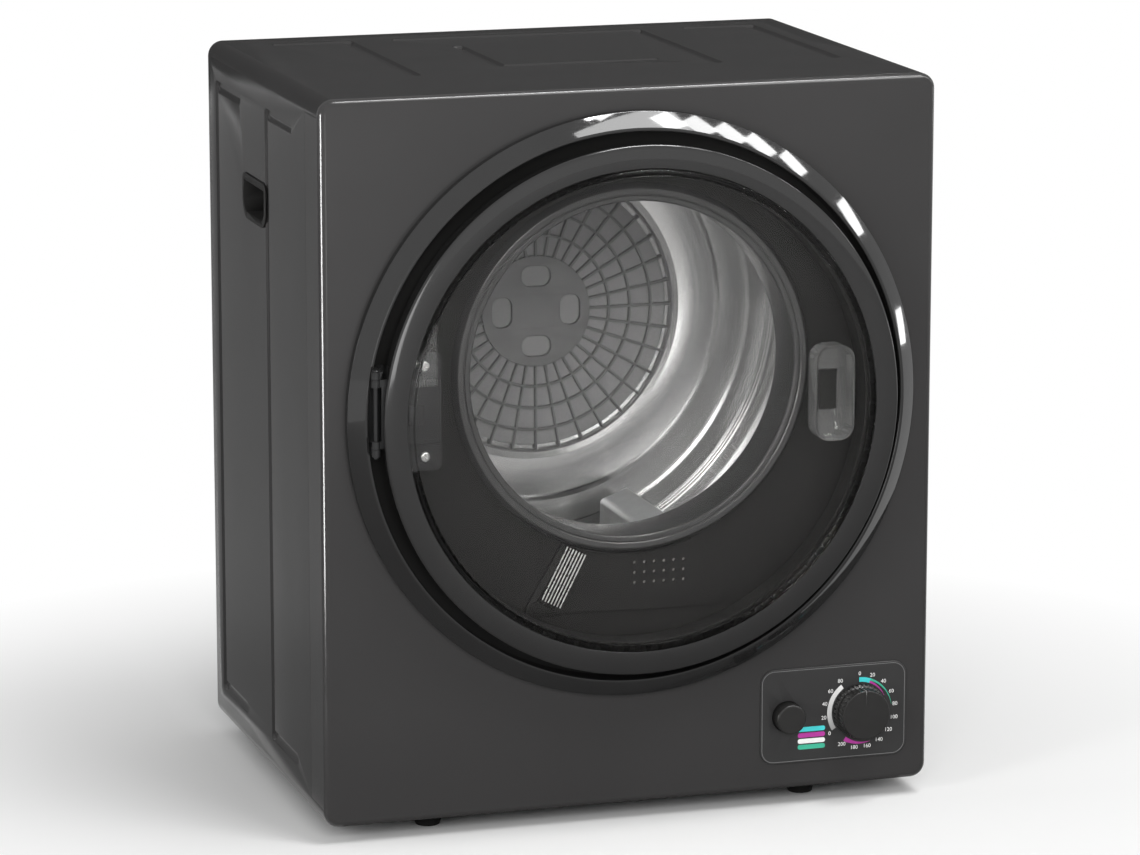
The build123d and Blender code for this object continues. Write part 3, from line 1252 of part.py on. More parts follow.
def belt_outline(grow):
    """The belt's loop round drum and pulley, as (x, z), that much outside their rims."""
    big = Pos(0, DRUM_Z) * Circle(DRUM_RADIUS + grow)
    small_radius = PULLEY_RADIUS + grow
    small = Pos(MOTOR_X, MOTOR_Z) * Circle(small_radius)
    across = (MOTOR_X, MOTOR_Z - DRUM_Z)
    distance = math.hypot(*across)
    toward = math.atan2(across[1], across[0])
    open_angle = math.acos((DRUM_RADIUS - PULLEY_RADIUS) / distance)
    corners = []
    for angle in (toward + open_angle, toward - open_angle):
        out = (math.cos(angle), math.sin(angle))
        drum_point = (out[0] * (DRUM_RADIUS + grow), DRUM_Z + out[1] * (DRUM_RADIUS + grow))
        pulley_point = (MOTOR_X + out[0] * small_radius, MOTOR_Z + out[1] * small_radius)
        corners.append((drum_point, pulley_point))
    (first_drum, first_pulley), (last_drum, last_pulley) = corners
    return big + small + outline(first_drum, first_pulley, last_pulley, last_drum)


def drive_belt():
    """Stretch belt round the drum and the motor pulley."""
    loop = belt_outline(CLEAR + BELT_THICKNESS) - belt_outline(CLEAR)
    return prism(loop, BELT_Y - BELT_WIDTH / 2, BELT_Y + BELT_WIDTH / 2)


def intake_body(inset, front_inset):
    """Outer or inner form of the duct behind the lint filter and down to the blower."""
    across = (MOTOR_X - DUCT_LEFT + inset, DUCT_RIGHT - inset)
    low = TRAY_RIM + CLEAR + inset
    neck_high = FILTER_LOW_Z + FILTER_LIP + DUCT_LAP - inset
    body_high = DRUM_Z - DRUM_RADIUS - ROLL_PROUD - DUCT_ROOM - inset
    front = BULKHEAD_REAR + front_inset
    pocket_back = FRONT + POCKET_BACK - inset
    body = block(across, (front, VOLUTE_Y - inset), (low, body_high))
    body += block(across, (front, pocket_back), (low, neck_high))
    return body + prism(filter_outline(FILTER_LIP - DUCT_LAP + inset), front, pocket_back)


def intake_duct():
    """Moulded duct from the lint filter to the blower's inlet."""
    duct = intake_body(0, 0) - intake_body(DUCT_WALL, DUCT_WALL)
    duct -= prism(filter_outline(FILTER_LIP), BULKHEAD_REAR, BULKHEAD_REAR + DUCT_WALL)
    return duct - rod(INLET_RADIUS, VOLUTE_Y - DUCT_WALL, VOLUTE_Y, MOTOR_Z, MOTOR_X)


def exhaust_body(inset):
    """Box in front of the base that takes the blower's air, and a round pipe to the back."""
    across = (OUTLET_X + inset, PLENUM_RIGHT - inset)
    up = (TRAY_TOP + inset, COLLAR_Z + COLLAR_RADIUS + DUCT_ROOM - inset)
    box = block(across, (VOLUTE_Y + inset, VOLUTE_REAR - inset), up)
    return box + rod(COLLAR_RADIUS - inset, VOLUTE_REAR - inset, REAR_INSIDE, COLLAR_Z, COLLAR_X)


def exhaust_duct():
    """Duct from the blower's mouth to the collar at the back."""
    duct = exhaust_body(0) - exhaust_body(DUCT_WALL)
    low = MOTOR_Z - VOLUTE_LOW + VOLUTE_WALL
    mouth_y = (VOLUTE_Y + VOLUTE_WALL, VOLUTE_REAR - VOLUTE_WALL)
    return duct - block((OUTLET_X, OUTLET_X + DUCT_WALL), mouth_y, (low, OUTLET_TOP - VOLUTE_WALL))


def exhaust_collar():
    """Round spigot with a flange on the rear panel, for a vent hose."""
    collar = tube(COLLAR_BORE, COLLAR_RADIUS, REAR, REAR + COLLAR_REACH, COLLAR_Z, COLLAR_X)
    rim = COLLAR_RADIUS + COLLAR_FLANGE
    return collar + tube(COLLAR_BORE, rim, REAR, REAR + COLLAR_WALL, COLLAR_Z, COLLAR_X)


# Controls

def control_fascia():
    """Thin plate behind the knob and the button."""
    face = Pos(CONTROL_X, CONTROL_Z) * RectangleRounded(CONTROL_WIDTH, CONTROL_TALL, CONTROL_CORNER)
    plate = prism(face, CONTROL_FACE, FRONT)
    plate = fillet(plate.faces().sort_by(Axis.Y)[0].edges(), CONTROL_EDGE)
    for radius, x in ((TIMER_SHAFT_RADIUS, KNOB_X), (BUTTON_RADIUS, BUTTON_X)):
        plate -= rod(radius + SLIDE, CONTROL_FACE, FRONT, CONTROL_Z, x)
    return plate


def timer_knob():
    """Round knob with a fluted skirt, a pointer groove and a blind bore for the timer shaft."""
    face = CONTROL_FACE - KNOB_HEIGHT
    skirt_front = KNOB_BACK - KNOB_SKIRT
    edge = (KNOB_RADIUS, face)
    section = outline(
        (0, face),
        edge,
        (KNOB_RADIUS, skirt_front),
        (KNOB_SKIRT_RADIUS, skirt_front),
        (KNOB_SKIRT_RADIUS, KNOB_BACK),
        (0, KNOB_BACK),
    )
    knob = turned(rounded(section, KNOB_EDGE, edge), CONTROL_Z, KNOB_X)
    for k in range(KNOB_FLUTES):
        turn = math.radians(k * 360 / KNOB_FLUTES)
        x = KNOB_X + KNOB_SKIRT_RADIUS * math.cos(turn)
        z = CONTROL_Z + KNOB_SKIRT_RADIUS * math.sin(turn)
        knob -= rod(KNOB_FLUTE_RADIUS, skirt_front, KNOB_BACK, z, x)
    mark_top = CONTROL_Z + KNOB_RADIUS
    half_mark = KNOB_MARK_WIDTH / 2
    knob -= block(
        (KNOB_X - half_mark, KNOB_X + half_mark),
        (face, face + KNOB_MARK_DEPTH),
        (mark_top - KNOB_MARK_LENGTH, mark_top),
    )
    return knob - rod(TIMER_SHAFT_RADIUS, KNOB_BACK - TIMER_SHAFT_GRIP, KNOB_BACK, CONTROL_Z, KNOB_X)


def timer_shaft():
    back = PANEL_BACK + TIMER_SHAFT_DEPTH
    return rod(TIMER_SHAFT_RADIUS, KNOB_BACK - TIMER_SHAFT_GRIP, back, CONTROL_Z, KNOB_X)


def timer_body():
    """Timer behind the front panel, with a bush for its shaft."""
    half = TIMER_SIZE / 2
    across = (KNOB_X - half, KNOB_X + half)
    up = (CONTROL_Z - half, CONTROL_Z + half)
    body = block(across, (PANEL_BACK, PANEL_BACK + TIMER_DEPTH), up)
    body = fillet(body.edges().filter_by(Axis.Y), TIMER_CORNER)
    bush_back = PANEL_BACK + TIMER_SHAFT_DEPTH + CLEAR
    return body - rod(TIMER_SHAFT_RADIUS + RUNNING, PANEL_BACK, bush_back, CONTROL_Z, KNOB_X)


def heat_button():
    """Round push button with a stem into its switch."""
    face = CONTROL_FACE - BUTTON_HEIGHT
    edge = (BUTTON_RADIUS, face)
    stem_back = SWITCH_FRONT + STEM_GRIP
    section = outline(
        (0, face),
        edge,
        (BUTTON_RADIUS, BUTTON_BACK),
        (STEM_RADIUS, BUTTON_BACK),
        (STEM_RADIUS, stem_back),
        (0, stem_back),
    )
    return turned(rounded(section, BUTTON_EDGE, edge), CONTROL_Z, BUTTON_X)


def heat_switch():
    """Switch body on a square frame behind the front panel, with a guide bore for the button's stem."""
    half = SWITCH_SIZE / 2
    across = (BUTTON_X - half, BUTTON_X + half)
    up = (CONTROL_Z - half, CONTROL_Z + half)
    back = SWITCH_FRONT + SWITCH_DEPTH
    body = block(across, (PANEL_BACK, back), up)
    body -= rod(BUTTON_RADIUS + SLIDE, PANEL_BACK, SWITCH_FRONT, CONTROL_Z, BUTTON_X)
    guide = SWITCH_FRONT + STEM_GRIP + BUTTON_TRAVEL + CLEAR
    return body - rod(STEM_RADIUS + RUNNING, SWITCH_FRONT, guide, CONTROL_Z, BUTTON_X)


# Every piece, written to a file of its own

PIECES = (
    cabinet_wrap, front_panel, rear_panel, base_tray, feet, side_handle_left, side_handle_right,
    door_bezel, control_fascia, timer_body, heat_switch, timer_knob, timer_shaft, heat_button,
    door_ring, door_window, window_retainer, door_gasket, hinge_leaf, hinge_screws, latch_housing,
    latch_tongue, hinge_bracket, hinge_pin, front_bulkhead, mouth_ring, front_felt, lint_cover,
    lint_filter, door_catch, door_switch, drum_shell, drum_front, drum_back, rear_grille, grille_net, lifters,
    drum_spider, drum_shaft, drum_bearing, bearing_carrier, rear_air_ring, rear_felt, rear_screws,
    cord_gland, heater_frame, heater_core, thermostats, blower_housing, fan_impeller, motor_body,
    motor_bracket, motor_shaft, motor_pulley, drive_belt, intake_duct, exhaust_duct, exhaust_collar,
)

os.makedirs("parts", exist_ok=True)
for piece in PIECES:
    made = piece()
    solids = made if isinstance(made, list) else made.solids()
    export_step(Compound(children=list(solids)), f"parts/{piece.__name__}.step")
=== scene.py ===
import json
import math

import bmesh
import bpy
from mathutils import Matrix, Vector

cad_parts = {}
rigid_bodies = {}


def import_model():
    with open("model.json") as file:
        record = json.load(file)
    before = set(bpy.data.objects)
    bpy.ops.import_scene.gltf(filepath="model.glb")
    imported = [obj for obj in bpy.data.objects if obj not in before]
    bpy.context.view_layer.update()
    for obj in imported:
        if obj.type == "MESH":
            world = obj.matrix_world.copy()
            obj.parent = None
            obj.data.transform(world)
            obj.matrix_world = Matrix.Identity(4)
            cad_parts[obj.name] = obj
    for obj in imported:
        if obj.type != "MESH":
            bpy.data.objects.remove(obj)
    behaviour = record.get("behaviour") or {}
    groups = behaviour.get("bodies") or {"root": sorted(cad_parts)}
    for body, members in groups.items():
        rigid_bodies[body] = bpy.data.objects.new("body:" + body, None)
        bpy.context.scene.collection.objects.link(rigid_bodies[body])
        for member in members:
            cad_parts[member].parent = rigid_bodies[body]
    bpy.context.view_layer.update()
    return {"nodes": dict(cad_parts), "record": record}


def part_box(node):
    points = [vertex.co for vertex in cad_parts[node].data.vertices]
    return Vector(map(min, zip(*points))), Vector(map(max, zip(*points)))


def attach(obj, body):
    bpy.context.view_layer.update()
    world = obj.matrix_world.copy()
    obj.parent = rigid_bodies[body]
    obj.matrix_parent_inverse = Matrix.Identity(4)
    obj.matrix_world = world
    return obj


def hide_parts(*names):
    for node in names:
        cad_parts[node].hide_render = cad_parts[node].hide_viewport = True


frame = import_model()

# Compact clothes dryer, dressed for the photo. Lengths are in metres, in the frame of the solids.

MM = 0.001


def low(node):
    return Vector(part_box(node)[0])


def high(node):
    return Vector(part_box(node)[1])


def middle(node):
    return (low(node) + high(node)) / 2


def radius_of(node):
    """Half the height of a round solid."""
    return (high(node).z - low(node).z) / 2


# Places read from the solids
DOOR_AXIS = middle("door_ring")
DRUM_AXIS = middle("drum_back")
KNOB_AXIS = middle("timer_knob")
FRONT = low("front_panel").y
FASCIA_FACE = low("control_fascia").y
DOOR_RADIUS = radius_of("door_ring")
BEZEL_RADIUS = radius_of("door_bezel")
DRUM_RADIUS = radius_of("drum_back")
GRILLE_RADIUS = radius_of("rear_grille")
GRILLE_DEPTH = high("rear_grille").y - low("rear_grille").y

# Camera, solved from the photo
PHOTO_WIDTH = 1140
FOCAL_PIXELS = 4994.87
SENSOR = 36.0
CAMERA_AZIMUTH = math.radians(-17.474)
CAMERA_ELEVATION = math.radians(11.960)
CAMERA_DISTANCE = 3.8394
CAMERA_AIM = Vector((-0.0505, FRONT, 0.3181))

# Values that several meshes and finishes share
CREASE = 32.0              # degrees; a sharper turn than this keeps its edge
SMALL_CREASE = 40.0        # the same for small pieces with few facets
DOUBLED = 0.001 * MM       # vertices this near are made one
CLEARANCE = 0.3 * MM       # between pieces that lie in one another
NOISE_LOW = 0.3            # most of a noise lies between these two
NOISE_HIGH = 0.7


# Shader helpers

class Finish:
    """One material under construction: its tree, its Principled shader and its Object coordinates."""

    def __init__(self, name, colour, roughness, metal=0.0, **sockets):
        self.material = bpy.data.materials.new(name)
        self.material.use_nodes = True
        self.tree = self.material.node_tree
        self.shader = self.tree.nodes["Principled BSDF"]
        self.output = self.tree.nodes["Material Output"]
        self.colour = colour
        self.roughness = roughness
        self.object_coordinates = self.node("ShaderNodeTexCoord").outputs["Object"]
        values = dict(sockets, Base_Color=(*colour, 1.0), Roughness=roughness, Metallic=metal)
        for socket, value in values.items():
            self.shader.inputs[socket.replace("_", " ")].default_value = value

    def node(self, kind, **settings):
        made = self.tree.nodes.new(kind)
        for name, value in settings.items():
            setattr(made, name, value)
        return made

    def link(self, source, target):
        self.tree.links.new(source, target)

    def noise(self, size, detail, scale=(1, 1, 1)):
        """Noise whose lumps are about that size in mm, on coordinates scaled along each axis."""
        mapping = self.node("ShaderNodeMapping")
        mapping.inputs["Scale"].default_value = scale
        self.link(self.object_coordinates, mapping.inputs["Vector"])
        texture = self.node("ShaderNodeTexNoise")
        texture.inputs["Scale"].default_value = 1 / (size * MM)
        texture.inputs["Detail"].default_value = detail
        self.link(mapping.outputs["Vector"], texture.inputs["Vector"])
        return texture.outputs["Fac"]

    def crystals(self, size):
        """Cells of about that size in mm, each with a grey of its own."""
        texture = self.node("ShaderNodeTexVoronoi")
        texture.inputs["Scale"].default_value = 1 / (size * MM)
        self.link(self.object_coordinates, texture.inputs["Vector"])
        grey = self.node("ShaderNodeRGBToBW")
        self.link(texture.outputs["Color"], grey.inputs["Color"])
        return grey.outputs["Val"]

    def along(self, axis):
        """The place along one axis of the object, in metres."""
        split = self.node("ShaderNodeSeparateXYZ")
        self.link(self.object_coordinates, split.inputs["Vector"])
        return split.outputs[axis]

    def between(self, factor, first, last, start=NOISE_LOW, end=NOISE_HIGH):
        """A number that runs from first to last as factor runs from start to end."""
        ramp = self.node("ShaderNodeMapRange")
        for name, value in zip(("From Min", "From Max", "To Min", "To Max"), (start, end, first, last)):
            ramp.inputs[name].default_value = value
        self.link(factor, ramp.inputs["Value"])
        return ramp.outputs["Result"]

    def tint(self, factor, first, last):
        """Colours the surface between two colours, by factor."""
        mix = self.node("ShaderNodeMix", data_type="RGBA")
        colour_sockets = [socket for socket in mix.inputs if socket.type == "RGBA"]
        colour_sockets[0].default_value = (*first, 1.0)
        colour_sockets[1].default_value = (*last, 1.0)
        self.link(factor, mix.inputs["Factor"])
        mixed = [socket for socket in mix.outputs if socket.type == "RGBA"][0]
        self.link(mixed, self.shader.inputs["Base Color"])

    def fade(self, axis, first, last, start, end):
        """Colours the surface from first to last along one axis, between two places on it."""
        self.tint(self.between(self.along(axis), 0.0, 1.0, start, end), first, last)

    def vary_colour(self, factor, spread):
        """Makes the colour darker and lighter by that share."""
        darker = tuple(max(channel * (1 - spread), 0.0) for channel in self.colour)
        lighter = tuple(min(channel * (1 + spread), 1.0) for channel in self.colour)
        self.tint(factor, darker, lighter)

    def vary_roughness(self, factor, spread):
        """Makes the roughness lower and higher by that much."""
        rough = self.between(factor, self.roughness - spread, self.roughness + spread)
        self.link(rough, self.shader.inputs["Roughness"])

    def bump(self, factor, height):
        """Relief of that height in mm."""
        relief = self.node("ShaderNodeBump")
        relief.inputs["Distance"].default_value = height * MM
        self.link(factor, relief.inputs["Height"])
        self.link(relief.outputs["Normal"], self.shader.inputs["Normal"])

    def blend(self, factor, other):
        """Mixes another shader into the surface, by factor."""
        mix = self.node("ShaderNodeMixShader")
        self.link(factor, mix.inputs["Fac"])
        self.link(self.shader.outputs["BSDF"], mix.inputs[1])
        self.link(other, mix.inputs[2])
        self.link(mix.outputs["Shader"], self.output.inputs["Surface"])


# Finishes

def noisy_finish(name, colour, roughness, metal=0.0, tone=None, gloss=None, grain=None, **sockets):
    """A finish with noise in its colour, roughness and relief, as (amount, size, detail) or with a scale."""
    finish = Finish(name, colour, roughness, metal, **sockets)
    for noise, vary in ((tone, finish.vary_colour), (gloss, finish.vary_roughness), (grain, finish.bump)):
        if noise:
            amount, *pattern = noise
            vary(finish.noise(*pattern), amount)
    return finish


def clear_to_lamps(finish, tint):
    """Lets light from the lamps through a clear piece, tinted."""
    path = finish.node("ShaderNodeLightPath")
    open_air = finish.node("ShaderNodeBsdfTransparent")
    open_air.inputs["Color"].default_value = (*tint, 1.0)
    finish.blend(path.outputs["Is Shadow Ray"], open_air.outputs["BSDF"])


WIPED = (1, 1, 6)          # scales of the noise
BRUSHED = (0.35, 90, 0.35)
FIBRES = (1, 3, 1)
WINDOW_TINT = (0.76, 0.757, 0.75)
LAMP_TINTS = {             # what lamplight keeps on its way through a clear piece
    "smoked_window": [math.sqrt(channel) for channel in WINDOW_TINT],
    "clear_plastic": (0.9, 0.9, 0.9),
}
RECIPES = {
    # baked satin paint with a faint orange-peel skin and uneven gloss
    "charcoal_paint": dict(
        colour=(0.035, 0.034, 0.0341), roughness=0.16, Specular_IOR_Level=0.27,
        tone=(0.10, 140, 2), gloss=(0.03, 60, 4), grain=(0.007, 1.6, 2),
    ),
    # polished black moulding with faint wiping marks
    "gloss_black": dict(
        colour=(0.0135, 0.0133, 0.0133), roughness=0.06, Coat_Weight=0.25, Coat_Roughness=0.03,
        tone=(0.15, 50, 2), gloss=(0.025, 8, 4, WIPED), grain=(0.006, 14, 1),
    ),
    # lightly smoked window, slightly uneven as moulded acrylic is
    "smoked_window": dict(
        colour=WINDOW_TINT, roughness=0.012, Transmission_Weight=1.0, IOR=1.20,
        gloss=(0.006, 30, 3), grain=(0.008, 90, 1),
    ),
    # slightly milky clear moulding
    "clear_plastic": dict(
        colour=(0.66, 0.665, 0.665), roughness=0.05, Transmission_Weight=0.93, IOR=1.49,
        gloss=(0.03, 5, 3), grain=(0.05, 12, 2),
    ),
    # moulded plastics with a fine even grain
    "black_plastic": dict(
        colour=(0.0125, 0.0122, 0.0118), roughness=0.50, Specular_IOR_Level=0.18,
        tone=(0.08, 60, 2), gloss=(0.04, 9, 3), grain=(0.004, 3, 2),
    ),
    "fascia_plastic": dict(
        colour=(0.026, 0.0256, 0.0258), roughness=0.42, gloss=(0.05, 20, 3), grain=(0.012, 0.35, 2),
    ),
    "knob_plastic": dict(
        colour=(0.0165, 0.016, 0.0155), roughness=0.36, gloss=(0.06, 6, 3), grain=(0.01, 0.3, 2),
    ),
    # moulding round the drum mouth, slightly wavy under its gloss
    "pale_plastic": dict(
        colour=(0.037, 0.037, 0.0375), roughness=0.16, Coat_Weight=0.25, Coat_Roughness=0.05,
        tone=(0.10, 30, 3), gloss=(0.06, 10, 3), grain=(0.05, 26, 2),
    ),
    "lifter_plastic": dict(
        colour=(0.42, 0.43, 0.43), roughness=0.30, tone=(0.12, 12, 4), grain=(0.03, 2, 2),
    ),
    "grille_plastic": dict(
        colour=(0.20, 0.20, 0.202), roughness=0.40, tone=(0.15, 15, 3), grain=(0.02, 1.2, 2),
    ),
    "brown_plastic": dict(
        colour=(0.10, 0.045, 0.025), roughness=0.38, tone=(0.2, 4, 3), grain=(0.02, 0.8, 2),
    ),
    "black_rubber": dict(
        colour=(0.013, 0.013, 0.013), roughness=0.68, tone=(0.3, 12, 4), grain=(0.03, 0.7, 3),
    ),
    # fine woven net
    "filter_net": dict(
        colour=(0.33, 0.33, 0.333), roughness=0.7, tone=(0.2, 1.4, 1), grain=(0.05, 1.4, 1),
    ),
    # pressed felt: short fibres all over
    "felt": dict(
        colour=(0.30, 0.29, 0.275), roughness=0.95, Sheen_Weight=0.3,
        tone=(0.25, 1.2, 6, FIBRES), grain=(0.25, 1.2, 6, FIBRES),
    ),
    # drum sheet, brushed round the drum
    "stainless_steel": dict(
        colour=(0.80, 0.80, 0.80), roughness=0.22, metal=1.0,
        tone=(0.05, 90, 3), gloss=(0.03, 60, 6, BRUSHED), grain=(0.002, 60, 6, BRUSHED),
    ),
    # other metals, painted and bare
    "hinge_paint": dict(
        colour=(0.022, 0.022, 0.0225), roughness=0.30, Specular_IOR_Level=0.27,
        tone=(0.12, 10, 3), grain=(0.01, 0.8, 2),
    ),
    "motor_paint": dict(
        colour=(0.10, 0.105, 0.11), roughness=0.42, tone=(0.15, 20, 3), grain=(0.02, 1.5, 3),
    ),
    "zinc_steel": dict(
        colour=(0.62, 0.62, 0.61), roughness=0.30, metal=1.0,
        tone=(0.10, 6, 3), gloss=(0.08, 3, 4), grain=(0.015, 0.8, 3),
    ),
    "cast_metal": dict(
        colour=(0.55, 0.55, 0.55), roughness=0.48, metal=0.9, tone=(0.12, 8, 4), grain=(0.06, 1.4, 4),
    ),
    "heater_metal": dict(
        colour=(0.60, 0.60, 0.60), roughness=0.36, metal=1.0, tone=(0.12, 10, 3), grain=(0.02, 1.0, 3),
    ),
    # zinc-dipped sheet, to which its patchwork of crystals is added below
    "galvanised_steel": dict(
        colour=(0.50, 0.52, 0.53), roughness=0.42, metal=0.95, grain=(0.015, 2.5, 3),
    ),
}
CRYSTAL = 9.0              # size in mm
CRYSTAL_TONE = 0.16
CRYSTAL_GLOSS = 0.10


def prepared(name):
    """The material made from one recipe."""
    finish = noisy_finish(name, **RECIPES[name])
    if name in LAMP_TINTS:
        clear_to_lamps(finish, LAMP_TINTS[name])
    if name == "galvanised_steel":
        crystals = finish.crystals(CRYSTAL)
        finish.vary_colour(crystals, CRYSTAL_TONE)
        finish.vary_roughness(crystals, CRYSTAL_GLOSS)
    return finish.material


FINISHES = {name: prepared(name) for name in RECIPES}
NODE_SLOT = {entry["node"]: entry["material_slot"] for entry in frame["record"]["subparts"]}
NODE_BODY = {
    node: body for body, nodes in frame["record"]["behaviour"]["bodies"].items() for node in nodes
}


# Mesh helpers

def placed(name, data):
    """A new object in the scene."""
    made = bpy.data.objects.new(name, data)
    bpy.context.scene.collection.objects.link(made)
    return made


def add_piece(name, mesh, body, slot, *nodes, material=None):
    """Puts a finished mesh in the scene on its body, in place of the named solids."""
    piece = placed(name, mesh)
    mesh.materials.clear()
    mesh.materials.append(material or FINISHES[slot])
    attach(piece, body)
    if nodes:
        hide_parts(*nodes)


def stand_for(name, mesh, node):
    """A finished mesh in place of one solid, with that solid's body and finish."""
    add_piece(name, mesh, NODE_BODY[node], NODE_SLOT[node], node)


def mesh_from(made, name, crease=CREASE):
    """A bmesh as a smooth-shaded mesh, with an edge where it turns by more than crease."""
    mesh = bpy.data.meshes.new(name)
    made.to_mesh(mesh)
    made.free()
    mesh.shade_smooth()
    mesh.set_sharp_from_angle(angle=math.radians(crease))
    return mesh


def settled(piece):
    """The piece's modifiers made part of its mesh."""
    graph = bpy.context.evaluated_depsgraph_get()
    mesh = bpy.data.meshes.new_from_object(piece.evaluated_get(graph))
    bpy.data.objects.remove(piece)
    return mesh


def merged(mesh):
    """A mesh as a bmesh, its doubled vertices made one."""
    made = bmesh.new()
    made.from_mesh(mesh)
    bmesh.ops.remove_doubles(made, verts=made.verts, dist=DOUBLED)
    return made


def smooth_copy(node, crease):
    """The solid's own mesh, merged, with even shading over its flats and roundings."""
    mesh = mesh_from(merged(frame["nodes"][node].data), node + "_skin", crease)
    draft = placed(node + "_draft", mesh)
    weighting = draft.modifiers.new("even_shading", "WEIGHTED_NORMAL")
    weighting.keep_sharp = True
    return settled(draft)


def turns(count):
    """Angles spread evenly over a full turn."""
    return [2 * math.pi * k / count for k in range(count)]


def on_circle(axis, radius, turn, y):
    """A place that far from a line along Y through axis, at that turn round it."""
    return (axis.x + radius * math.cos(turn), y, axis.z + radius * math.sin(turn))


def rounded_corners(points, steps):
    """An outline of (x, y, radius) corners, with each radius drawn as an arc."""
    line = []
    count = len(points)
    for k, (x, y, radius) in enumerate(points):
        here = Vector((x, y))
        if radius <= 0:
            line.append(here)
            continue
        before = (Vector(points[k - 1][:2]) - here).normalized()
        after = (Vector(points[(k + 1) % count][:2]) - here).normalized()
        half = before.angle(after) / 2
        centre = here + (before + after).normalized() * (radius / math.sin(half))
        start = here + before * (radius / math.tan(half)) - centre
        sweep = math.pi - 2 * half
        side = 1 if before.x * after.y - before.y * after.x < 0 else -1
        for step in range(steps + 1):
            angle = side * sweep * step / steps
            line.append(centre + Matrix.Rotation(angle, 2) @ start)
    return line


def circle_points(radius, count):
    return [(radius * math.cos(turn), radius * math.sin(turn)) for turn in turns(count)]


def rounded_box_points(width, tall, radius, centre=(0, 0)):
    x, y = width / 2, tall / 2
    corners = [(-x, -y, radius), (x, -y, radius), (x, y, radius), (-x, y, radius)]
    return [(point.x + centre[0], point.y + centre[1]) for point in rounded_corners(corners, steps=8)]


def lathe(name, corners, axis, segments, steps=6):
    """A closed outline of (radius, y, corner radius) turned about a line along Y through axis."""
    made = bmesh.new()
    rings = []
    for point in rounded_corners(corners, steps):
        if point.x == 0:
            ring = [made.verts.new(on_circle(axis, 0, 0, point.y))] * segments
        else:
            ring = [made.verts.new(on_circle(axis, point.x, turn, point.y)) for turn in turns(segments)]
        rings.append(ring)
    for ring, other in zip(rings, rings[1:] + rings[:1]):
        for k in range(segments):
            distinct = list(dict.fromkeys((ring[k], ring[k - 1], other[k - 1], other[k])))
            if len(distinct) > 2:
                made.faces.new(distinct)
    bmesh.ops.recalc_face_normals(made, faces=made.faces)
    return mesh_from(made, name)


def turned(node, corners, axis, segments):
    """A turned piece in place of one solid."""
    name = node + "_turned"
    stand_for(name, lathe(name, corners, axis, segments), node)


def bar(name, rows_of_places):
    """A bar through rows of four places each, closed at its ends."""
    made = bmesh.new()
    rows = [[made.verts.new(place) for place in places] for places in rows_of_places]
    for row, other in zip(rows, rows[1:]):
        for k in range(4):
            made.faces.new((row[k], other[k], other[k - 1], row[k - 1]))
    made.faces.new(rows[0])
    made.faces.new(rows[-1])
    bmesh.ops.recalc_face_normals(made, faces=made.faces)
    return mesh_from(made, name)


def flat_plate(name, outlines, depth, edge):
    """A plate drawn by closed outlines of (x, y) points, holes included, with rounded edges."""
    curve = bpy.data.curves.new(name, "CURVE")
    curve.dimensions = "2D"
    curve.fill_mode = "BOTH"
    curve.extrude = depth / 2 - edge
    curve.bevel_depth = edge
    curve.bevel_resolution = 2
    curve.offset = -edge
    for points in outlines:
        spline = curve.splines.new("POLY")
        spline.points.add(len(points) - 1)
        for corner, point in zip(spline.points, points):
            corner.co = (point[0], point[1], 0, 1)
        spline.use_cyclic_u = True
    return mesh_from(merged(settled(placed(name + "_draft", curve))), name, SMALL_CREASE)


def upright(mesh, centre):
    """Stands a mesh that was drawn flat, as (x, z), upright at centre, with its top to the front."""
    mesh.transform(Matrix.Translation(centre) @ Matrix.Rotation(math.radians(90), 4, "X"))
    return mesh


# Geometry node helpers

